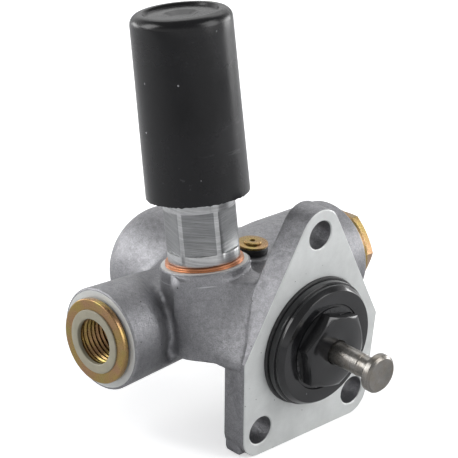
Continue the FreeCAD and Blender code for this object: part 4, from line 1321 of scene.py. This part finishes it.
def nut_outline(sizes):
    corner = sizes.across / math.sqrt(3)
    edge = sizes.edge
    bottom = sizes.face - sizes.groove
    return [
        (-sizes.spigot_end, sizes.pin_bore),
        (-sizes.spigot_end, sizes.spigot, edge),
        (sizes.ring_thick, sizes.spigot),
        (sizes.ring_thick, sizes.collar_skin, edge),
        (sizes.collar_top, sizes.collar_skin, edge),
        (sizes.collar_top, sizes.step_skin, 0.05 * MM),
        (sizes.step_top, sizes.step_skin, 0.3 * MM),
        (sizes.face, sizes.face_skin, 0.3 * MM),
        (sizes.face, corner + sizes.groove_wide, 0.1 * MM),
        (bottom, corner + sizes.groove_wide - 0.2 * MM, 0.1 * MM),
        (bottom, corner),
        (sizes.front - sizes.chamfer, corner),
        (sizes.front, corner - 2 * sizes.chamfer),
        (sizes.front, sizes.pin_bore + 0.4 * MM),
        (sizes.front - 0.4 * MM, sizes.pin_bore),
    ]


class PUMP_OT_guide_nut(bpy.types.Operator):
    """Model the black tappet guide nut and the ring behind it"""

    bl_idname = "pump.guide_nut"
    bl_label = "Guide nut"

    def execute(self, context):
        sizes = nut()
        body = lathe("nut", nut_outline(sizes), tappet_axis(), 160)
        corner = sizes.across / math.sqrt(3)
        cut_hexagon(body, sizes.across, sizes.turn, HEXAGON_EDGE,
                    (sizes.face, sizes.front + OVER),
                    (0.6 * corner, corner + 0.3 * MM), tappet_axis())
        break_edges(body, 0.12 * MM)
        shade(body, 40)
        seat(body, "pump_body", "black_steel", finish_of("black_steel"), "guide_nut")
        turned_piece("nut_ring", "guide_nut_ring", "black_rubber", [
            (-sizes.ring_seat, sizes.ring_inner), (-sizes.ring_seat, sizes.ring_skin, 0.1 * MM),
            (sizes.ring_thick, sizes.ring_skin, 0.3 * MM),
            (sizes.ring_thick, sizes.ring_inner),
        ], tappet_axis(), 160, 40)
        return {"FINISHED"}


class PUMP_OT_tappet(bpy.types.Operator):
    """Model the steel tappet pin"""

    bl_idname = "pump.tappet"
    bl_label = "Tappet"

    def execute(self, context):
        sizes = nut()
        turned_piece("pin", "tappet_pin", "bare_steel", [
            (-sizes.pin_back, 0), (-sizes.pin_back, sizes.pin_skin, 0.3 * MM),
            (sizes.neck_start - 0.2 * MM, sizes.pin_skin, 0.1 * MM),
            (sizes.neck_start, sizes.neck_skin, 0.1 * MM),
            (sizes.neck_end, sizes.neck_skin, 0.4 * MM),
            (sizes.head_start, sizes.head_root, 0.2 * MM),
            (sizes.head_start + 0.1 * MM, sizes.head_skin, 0.25 * MM),
            (sizes.head_end - sizes.head_chamfer, sizes.head_skin, 0.3 * MM),
            (sizes.head_end, sizes.head_skin - sizes.head_chamfer, 0.15 * MM),
            (sizes.head_end, 0),
        ], tappet_axis(), sharp=40, body="tappet")
        return {"FINISHED"}


def thread_wall(name, front, sizes, frame_matrix):
    """Tapped wall of a port: one helical groove drawn as a fine grid."""
    around = 96
    per_turn = 12
    rows = int(sizes.thread_length / sizes.thread_pitch * per_turn)
    vertices = []
    for row in range(rows + 1):
        for step in range(around):
            turn = 2 * math.pi * step / around
            along = front - sizes.thread_length * row / rows
            phase = (along / sizes.thread_pitch + step / around) % 1.0
            wave = 1 - abs(2 * phase - 1)
            depth = sizes.thread_depth * min(1.0, max(0.0, wave * 1.5 - 0.2))
            fade = min(1.0, row / per_turn, (rows - row) / per_turn)
            radius = sizes.thread_minor + depth * fade
            vertices.append(frame_matrix @ Vector(
                (along, radius * math.cos(turn), radius * math.sin(turn))))
    faces = []
    for row in range(rows):
        for step in range(around):
            after = (step + 1) % around
            low = row * around
            faces.append((low + step, low + after, low + around + after, low + around + step))
    return mesh_piece(name, vertices, faces)


def port_mouth(front, sizes):
    """End of an adapter's half section: seat of the white ring and start of the hole."""
    inner = sizes.thread_minor + sizes.thread_depth + 0.15 * MM
    ring_hole = sizes.white_skin + 0.02 * MM
    depth = front - sizes.thread_length
    return [
        (front, ring_hole, 0.05 * MM),
        (front - sizes.white_sunk, ring_hole),
        (front - sizes.white_sunk, inner),
        (depth, inner),
        (depth - 2 * MM, sizes.drill),
    ]


def white_ring(name, front, frame_matrix, node):
    sizes = ports()
    turned_piece(name, node, "white_ring", [
        (front - sizes.white_sunk, sizes.thread_minor),
        (front - sizes.white_sunk, sizes.white_skin),
        (front + sizes.white_proud, sizes.white_skin, 0.3 * MM),
        (front + sizes.white_proud, sizes.thread_minor, 0.35 * MM),
    ], frame_matrix, 128)


def join_pieces(first, second):
    """Adds the second piece's mesh to the first."""
    merged = bmesh.new()
    merged.from_mesh(first.data)
    merged.from_mesh(second.data)
    merged.to_mesh(first.data)
    merged.free()
    bpy.data.objects.remove(second)


class PUMP_OT_inlet(bpy.types.Operator):
    """Model the inlet adapter with its thread, seal and white ring"""

    bl_idname = "pump.inlet"
    bl_label = "Inlet"

    def execute(self, context):
        sizes = ports()
        foot = casting().inlet_face + sizes.seal_thick
        front = foot + sizes.inlet_ring_thick
        adapter = lathe("inlet_adapter_ring", [
            (foot - sizes.spigot_length, sizes.drill),
            (foot - sizes.spigot_length, sizes.thread_skin, 0.5 * MM),
            (foot, sizes.thread_skin),
            (foot, sizes.inlet_ring_skin, 0.4 * MM),
            (front, sizes.inlet_ring_skin, 0.45 * MM),
        ] + port_mouth(front, sizes), inlet_axis(), 160)
        join_pieces(adapter, thread_wall("inlet_thread", front - sizes.white_sunk,
                                         sizes, inlet_axis()))
        shade(adapter, 50)
        seat(adapter, "pump_body", "yellow_zinc", finish_of("yellow_zinc"), "inlet_adapter")
        white_ring("inlet_ring", front, inlet_axis(), "inlet_white_ring")
        hole = sizes.thread_skin + CLEARANCE
        turned_piece("inlet_seal", "inlet_seal_ring", "black_rubber", [
            (casting().inlet_face, hole), (casting().inlet_face, sizes.seal_skin, 0.2 * MM),
            (foot, sizes.seal_skin, 0.2 * MM), (foot, hole),
        ], inlet_axis(), 128)
        return {"FINISHED"}


class PUMP_OT_outlet(bpy.types.Operator):
    """Model the outlet adapter with its hexagon, thread, washer and white ring"""

    bl_idname = "pump.outlet"
    bl_label = "Outlet"

    def execute(self, context):
        sizes = ports()
        face = casting().outlet_face
        foot = face + sizes.washer_thick
        hex_start = foot + sizes.collar_thick
        front = hex_start + sizes.hex_length
        corner = sizes.hex_across / math.sqrt(3)
        adapter = lathe("outlet_adapter_body", [
            (foot - sizes.spigot_length, sizes.drill),
            (foot - sizes.spigot_length, sizes.thread_skin, 0.5 * MM),
            (foot, sizes.thread_skin),
            (foot, sizes.collar_skin, 0.35 * MM),
            (hex_start, sizes.collar_skin, 0.35 * MM),
            (hex_start, corner),
            (front - sizes.hex_chamfer, corner),
            (front, corner - 2 * sizes.hex_chamfer),
        ] + port_mouth(front, sizes), outlet_axis(), 160)
        cut_hexagon(adapter, sizes.hex_across, sizes.hex_turn, HEXAGON_EDGE,
                    (hex_start, front + OVER),
                    (0.7 * corner, corner + 0.3 * MM), outlet_axis())
        break_edges(adapter, 0.12 * MM)
        join_pieces(adapter, thread_wall("outlet_thread", front - sizes.white_sunk,
                                         sizes, outlet_axis()))
        shade(adapter, 40)
        seat(adapter, "pump_body", "yellow_zinc", finish_of("yellow_zinc"), "outlet_adapter")
        hole = sizes.thread_skin + CLEARANCE
        turned_piece("outlet_washer_disc", "outlet_washer", "yellow_zinc", [
            (face, hole), (face, sizes.washer_skin, 0.3 * MM),
            (foot, sizes.washer_skin, 0.3 * MM), (foot, hole),
        ], outlet_axis(), 128)
        white_ring("outlet_ring", front, outlet_axis(), "outlet_white_ring")
        return {"FINISHED"}


class PUMP_OT_plug(bpy.types.Operator):
    """Model the small plug with its washer and black ring"""

    bl_idname = "pump.plug"
    bl_label = "Small plug"

    def execute(self, context):
        sizes = plug()
        hole = sizes.stem_skin + CLEARANCE
        ring_top = sizes.seat + sizes.ring_thick
        washer_top = ring_top + sizes.washer_thick
        top = washer_top + sizes.head_thick
        stem_foot = washer_top - sizes.stem_length
        turned_piece("plug_ring", "bleed_seal_ring", "black_rubber", [
            (sizes.seat, hole), (sizes.seat, sizes.ring_skin, 0.4 * MM),
            (ring_top, sizes.ring_skin, 0.4 * MM), (ring_top, hole)], plug_axis())
        turned_piece("plug_washer", "bleed_washer", "bare_steel", [
            (ring_top, hole), (ring_top, sizes.washer_skin, 0.15 * MM),
            (washer_top, sizes.washer_skin, 0.2 * MM), (washer_top, hole)],
            plug_axis(), finish="yellow_zinc")
        turned_piece("plug_screw", "bleed_screw", "yellow_zinc", [
            (stem_foot, 0), (stem_foot, sizes.stem_skin),
            (washer_top, sizes.stem_skin), (washer_top, sizes.head_skin, 0.15 * MM),
            (top, sizes.head_skin, 0.35 * MM), (top, sizes.socket, 0.15 * MM),
            (top - sizes.socket_depth, sizes.socket * 0.9),
            (top - sizes.socket_depth, 0)], plug_axis(), 64)
        return {"FINISHED"}


class PUMP_OT_barrel(bpy.types.Operator):
    """Model the primer barrel with its milled flats and the copper washer"""

    bl_idname = "pump.barrel"
    bl_label = "Primer barrel"

    def execute(self, context):
        sizes = primer()
        boss_top = casting().boss_top
        collar_foot = boss_top + sizes.copper_thick
        flats_foot = collar_foot + sizes.barrel_collar
        flats_top = flats_foot + sizes.flats_length
        barrel = lathe("barrel", [
            (sizes.spigot_foot, sizes.spigot_mouth),
            (sizes.spigot_foot, sizes.spigot_skin, 0.4 * MM),
            (collar_foot, sizes.spigot_skin),
            (collar_foot, sizes.barrel_skin, 0.3 * MM),
            (sizes.barrel_top, sizes.barrel_skin, 0.4 * MM),
            (sizes.barrel_top, sizes.barrel_bore),
            (sizes.barrel_bore_foot, sizes.barrel_bore),
            (sizes.barrel_bore_foot, sizes.spigot_bore),
            (sizes.spigot_foot + sizes.spigot_lip, sizes.spigot_bore),
            (sizes.spigot_foot + sizes.spigot_lip, sizes.spigot_mouth),
        ], primer_axis(), 160)
        cut_hexagon(barrel, sizes.flats_across, sizes.flats_turn, 0.1 * MM,
                    (flats_foot, flats_top),
                    (0.7 * sizes.barrel_skin, sizes.barrel_skin + OVER), primer_axis())
        break_edges(barrel, 0.15 * MM)
        shade(barrel, 35)
        seat(barrel, "pump_body", "turned_aluminium", finish_of("turned_aluminium"),
             "primer_barrel")
        self.mark_flats(barrel, sizes, flats_foot, flats_top)
        self.crush_washer(sizes, boss_top, collar_foot)
        return {"FINISHED"}

    def crush_washer(self, sizes, foot, top):
        """The copper washer: two round beads with a groove between them."""
        bead = sizes.copper_bead
        skin = sizes.copper_skin
        hole = sizes.spigot_skin + CLEARANCE
        turned_piece("copper_ring", "primer_copper_washer", "copper", [
            (foot, hole),
            (foot, skin - bead, 0.05 * MM),
            (foot + 0.05 * MM, skin, 0.25 * MM),
            (foot + 2 * bead - 0.08 * MM, skin, 0.25 * MM),
            (foot + 2 * bead, skin - bead, 0.08 * MM),
            (top - 2 * bead + 0.08 * MM, skin - 0.1 * MM, 0.25 * MM),
            (top - 0.05 * MM, skin - 0.1 * MM, 0.25 * MM),
            (top, skin - bead, 0.05 * MM),
            (top, hole),
        ], primer_axis(), 128)

    def mark_flats(self, barrel, sizes, low, high):
        """Gives the six milled flats their own finish."""
        barrel.data.materials.append(finish_of("milled_flat"))
        back = primer_axis().inverted()
        turned = back.to_3x3()
        for face in barrel.data.polygons:
            along = (back @ face.center).x
            normal = turned @ face.normal
            turn = (math.atan2(normal.z, normal.y) - sizes.flats_turn) % (math.pi / 3)
            straight = abs(turn - math.pi / 6) < math.radians(2) and abs(normal.x) < 0.1
            face.material_index = 1 if straight and low < along < high else 0


class PUMP_OT_cap(bpy.types.Operator):
    """Model the black cap of the hand primer"""

    bl_idname = "pump.cap"
    bl_label = "Cap"

    def execute(self, context):
        sizes = primer()
        floor = sizes.cap_top - sizes.cap_dish_depth
        dimple = floor - sizes.cap_dimple_depth
        rise = sizes.cap_top - sizes.cap_foot
        sides = []
        for step in range(1, 24):
            part = step / 24
            along = sizes.cap_foot + (rise - sizes.cap_crown * 1.3) * part
            skin = sizes.cap_foot_skin + (sizes.cap_head_skin - sizes.cap_foot_skin) * part
            sides.append((along, skin))
        cap = lathe("cap", [
            (sizes.cap_foot, sizes.cap_inner, 0.2 * MM),
            (sizes.cap_foot, sizes.cap_foot_skin, 0.15 * MM),
        ] + sides + [
            (sizes.cap_top, sizes.cap_head_skin, sizes.cap_crown),
            (sizes.cap_top, sizes.cap_dish_skin + 0.7 * MM, 0.45 * MM),
            (floor, sizes.cap_dish_skin, 0.2 * MM),
            (floor, sizes.cap_dimple_skin, 0.5 * MM),
            (dimple, sizes.cap_dimple_skin * 0.55, 1.2 * MM),
            (dimple, 0),
            (sizes.cap_socket_top, 0),
            (sizes.cap_socket_top, sizes.rod_skin),
            (sizes.cap_boss_foot, sizes.rod_skin),
            (sizes.cap_boss_foot, sizes.cap_boss_skin),
            (sizes.cap_inner_top, sizes.cap_boss_skin),
            (sizes.cap_inner_top, sizes.cap_inner),
        ], primer_axis(), 192, 6)
        self.ragged_foot(cap, sizes)
        shade(cap, 50)
        seat(cap, "primer_plunger", "black_plastic", finish_of("black_plastic"), "primer_cap")
        return {"FINISHED"}

    def ragged_foot(self, cap, sizes):
        """Uneven mould flash along the cap's foot."""
        places = primer_axis()
        back = places.inverted()
        for vertex in cap.data.vertices:
            local = back @ vertex.co
            if local.x > sizes.cap_foot + 0.3 * MM:
                continue
            turn = math.atan2(local.z, local.y)
            wave = 0.5 + 0.3 * math.sin(9 * turn + 0.7) + 0.2 * math.sin(23 * turn)
            wave *= 0.5 + 0.5 * math.sin(57 * turn + 2.0 * math.sin(11 * turn))
            local.x += sizes.cap_flash * (1 - wave)
            vertex.co = places @ local


SPRING_JOINTS = {
    "piston_spring": "piston_slide",
    "primer_spring": "primer_slide",
    "suction_valve_spring": "suction_lift",
    "pressure_valve_spring": "pressure_lift",
}


class PUMP_OT_springs(bpy.types.Operator):
    """Put copies of the four springs on the pump body, in spring steel"""

    bl_idname = "pump.springs"
    bl_label = "Springs"

    def execute(self, context):
        for node, name in SPRING_JOINTS.items():
            coil = bpy.data.objects.new(node.replace("spring", "coil"),
                                        frame["nodes"][node].data.copy())
            context.scene.collection.objects.link(coil)
            coil.matrix_world = frame["nodes"][node].matrix_world
            seat(coil, "pump_body", "spring_steel", finish_of("spring_steel"), node)
            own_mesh(coil)
        return {"FINISHED"}


class PUMP_OT_inner_pieces(bpy.types.Operator):
    """Give the pieces that stay as they are their finish"""

    bl_idname = "pump.inner_pieces"
    bl_label = "Inner pieces"

    def execute(self, context):
        for entry in frame["record"]["subparts"]:
            node = frame["nodes"][entry["node"]]
            node.data.materials.clear()
            node.data.materials.append(finish_of(entry["material_slot"]))
        return {"FINISHED"}


WHITE = (1, 1, 1)
PUMP_MIDDLE = (-0.03, -0.005, 0.03)

# Metres from the pump's middle towards the camera, to its right and upwards; then the size.
LAMPS = {
    "key": (0.45, 0.9, 0.35, (0.6, 0.8)),
    "left": (0.2, -0.85, 0.45, (0.5, 0.6)),
    "left_rim": (-0.55, -0.75, 0.0, (0.5, 0.9)),
    "right_rim": (-0.55, 0.75, 0.0, (0.5, 0.9)),
    "top": (-0.35, 0.1, 0.9, (0.9, 0.5)),
}


def add_lamp(name, place, target, size, power):
    lamp = bpy.data.lights.new(name, "AREA")
    lamp.shape = "RECTANGLE"
    lamp.size, lamp.size_y = size
    lamp.energy = power
    holder = bpy.data.objects.new(name, lamp)
    holder.location = place
    aim = Vector(target) - Vector(place)
    holder.rotation_euler = aim.to_track_quat("-Z", "Y").to_euler()
    bpy.context.scene.collection.objects.link(holder)


def add_camera(sizes):
    azimuth, elevation, roll = sizes.azimuth, sizes.elevation, sizes.roll
    back = Vector((math.sin(azimuth) * math.cos(elevation),
                   -math.cos(azimuth) * math.cos(elevation), math.sin(elevation)))
    level = Vector((math.cos(azimuth), math.sin(azimuth), 0))
    upright = back.cross(level)
    right = level * math.cos(roll) + upright * math.sin(roll)
    up = upright * math.cos(roll) - level * math.sin(roll)
    lens = bpy.data.cameras.new("camera")
    lens.lens = sizes.focal
    lens.sensor_width = 36
    lens.clip_end = 20
    camera = bpy.data.objects.new("camera", lens)
    place = back * sizes.distance + right * sizes.aim_side + up * sizes.aim_rise
    columns = Matrix((right, up, back)).transposed().to_4x4()
    camera.matrix_world = Matrix.Translation(place) @ columns
    bpy.context.scene.collection.objects.link(camera)
    bpy.context.scene.camera = camera
    return right, up, back


def blend_colours(tree, fac, first, second):
    """Mixes two colours, each a tuple or an output, by a factor."""
    mix = tree.nodes.new("ShaderNodeMix")
    mix.data_type = "RGBA"
    tree.links.new(fac, mix.inputs["Factor"])
    ends = [s for s in mix.inputs if s.type == "RGBA"]
    for end, value in zip(ends, (first, second)):
        if isinstance(value, tuple):
            end.default_value = (*value, 1.0)
        else:
            tree.links.new(value, end)
    return next(s for s in mix.outputs if s.type == "RGBA")


def add_world(sizes):
    world = bpy.data.worlds.new("studio")
    bpy.context.scene.world = world
    world.use_nodes = True
    tree = world.node_tree
    background = tree.nodes["Background"]
    paths = tree.nodes.new("ShaderNodeLightPath").outputs
    direction = tree.nodes.new("ShaderNodeTexCoord").outputs["Generated"]
    parts = tree.nodes.new("ShaderNodeSeparateXYZ")
    tree.links.new(direction, parts.inputs["Vector"])
    overhead = tree.nodes.new("ShaderNodeMapRange")
    overhead.interpolation_type = "SMOOTHSTEP"
    overhead.inputs["From Min"].default_value = sizes.overhead_start
    overhead.inputs["From Max"].default_value = sizes.overhead_end
    tree.links.new(parts.outputs["Z"], overhead.inputs["Value"])
    dusk = sizes.overhead_grey
    ambient = tuple(sizes.ambient_colour)
    mirrored = blend_colours(tree, overhead.outputs["Result"], WHITE, (dusk, dusk, dusk))
    lit = blend_colours(tree, paths["Is Glossy Ray"], ambient, mirrored)
    lit = blend_colours(tree, paths["Is Transmission Ray"], lit, WHITE)
    result = blend_colours(tree, paths["Is Camera Ray"], lit, WHITE)
    tree.links.new(result, background.inputs["Color"])
    background.inputs["Strength"].default_value = 1.0


def add_floor(sizes):
    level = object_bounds()[0][2] - sizes.floor_gap
    reach = sizes.floor_half
    floor = mesh_piece("floor", [(-reach, -reach, level), (reach, -reach, level),
                                 (reach, reach, level), (-reach, reach, level)], [(0, 1, 2, 3)])
    material = bpy.data.materials.new("pale_floor")
    material.use_nodes = True
    tree = material.node_tree
    shader = tree.nodes["Principled BSDF"]
    shader.inputs["Roughness"].default_value = 0.8
    shader.inputs["Specular IOR Level"].default_value = 0.0
    coords = tree.nodes.new("ShaderNodeTexCoord").outputs["Object"]
    noise = tree.nodes.new("ShaderNodeTexNoise")
    noise.inputs["Scale"].default_value = 40
    tree.links.new(coords, noise.inputs["Vector"])
    tint = tree.nodes.new("ShaderNodeMapRange")
    grey = sizes.floor_colour[0]
    change = 0.01
    tint.inputs["To Min"].default_value = grey - change
    tint.inputs["To Max"].default_value = grey + change
    tree.links.new(noise.outputs["Fac"], tint.inputs["Value"])
    tree.links.new(tint.outputs["Result"], shader.inputs["Base Color"])
    paths = tree.nodes.new("ShaderNodeLightPath").outputs
    glow = tree.nodes.new("ShaderNodeMath")
    glow.operation = "MULTIPLY"
    glow.inputs[1].default_value = sizes.floor_glow
    tree.links.new(paths["Is Camera Ray"], glow.inputs[0])
    shader.inputs["Emission Color"].default_value = (*WHITE, 1)
    tree.links.new(glow.outputs["Value"], shader.inputs["Emission Strength"])
    floor.data.materials.append(material)
    floor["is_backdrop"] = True


class PUMP_OT_stage(bpy.types.Operator):
    """Set up the camera, the lamps, the floor and the white surroundings"""

    bl_idname = "pump.stage"
    bl_label = "Stage"

    def execute(self, context):
        sizes = stage_settings()
        right, up, back = add_camera(sizes)
        centre = Vector(PUMP_MIDDLE)
        add_world(sizes)
        add_floor(sizes)
        for name, (towards, aside, above, size) in LAMPS.items():
            place = centre + back * towards + right * aside + up * above
            add_lamp(name, place, centre, size, getattr(sizes, name + "_power"))
        context.scene.view_settings.view_transform = "Standard"
        return {"FINISHED"}


class PUMP_PT_panel(bpy.types.Panel):
    """Steps of the pump, in order"""

    bl_idname = "PUMP_PT_panel"
    bl_label = "Hand primer pump"
    bl_space_type = "VIEW_3D"
    bl_region_type = "UI"
    bl_category = "Pump"

    def draw(self, context):
        for step in STEPS:
            self.layout.operator(step.bl_idname, text=step.bl_label)
        for group in SETTINGS:
            self.layout.label(text=group.replace("pump_", "").capitalize())
            settings = getattr(context.scene, group)
            for name in settings.bl_rna.properties.keys():
                if name not in ("rna_type", "name"):
                    self.layout.prop(settings, name)


STEPS = (
    PUMP_OT_casting,
    PUMP_OT_guide_nut,
    PUMP_OT_tappet,
    PUMP_OT_inlet,
    PUMP_OT_outlet,
    PUMP_OT_plug,
    PUMP_OT_barrel,
    PUMP_OT_cap,
    PUMP_OT_springs,
    PUMP_OT_inner_pieces,
    PUMP_OT_stage,
)

SETTINGS = {
    "pump_casting": CastingSettings,
    "pump_nut": NutSettings,
    "pump_ports": PortSettings,
    "pump_plug": PlugSettings,
    "pump_primer": PrimerSettings,
    "pump_stage": StageSettings,
}


def register():
    for group in SETTINGS.values():
        bpy.utils.register_class(group)
    for name, group in SETTINGS.items():
        setattr(bpy.types.Scene, name, PointerProperty(type=group))
    for step in STEPS:
        bpy.utils.register_class(step)
    bpy.utils.register_class(PUMP_PT_panel)


def unregister():
    bpy.utils.unregister_class(PUMP_PT_panel)
    for step in reversed(STEPS):
        bpy.utils.unregister_class(step)
    for name in SETTINGS:
        delattr(bpy.types.Scene, name)
    for group in reversed(list(SETTINGS.values())):
        bpy.utils.unregister_class(group)


def main():
    register()
    bpy.ops.pump.casting()
    bpy.ops.pump.guide_nut()
    bpy.ops.pump.tappet()
    bpy.ops.pump.inlet()
    bpy.ops.pump.outlet()
    bpy.ops.pump.plug()
    bpy.ops.pump.barrel()
    bpy.ops.pump.cap()
    bpy.ops.pump.springs()
    bpy.ops.pump.inner_pieces()
    bpy.ops.pump.stage()


if __name__ == "__main__":
    main()
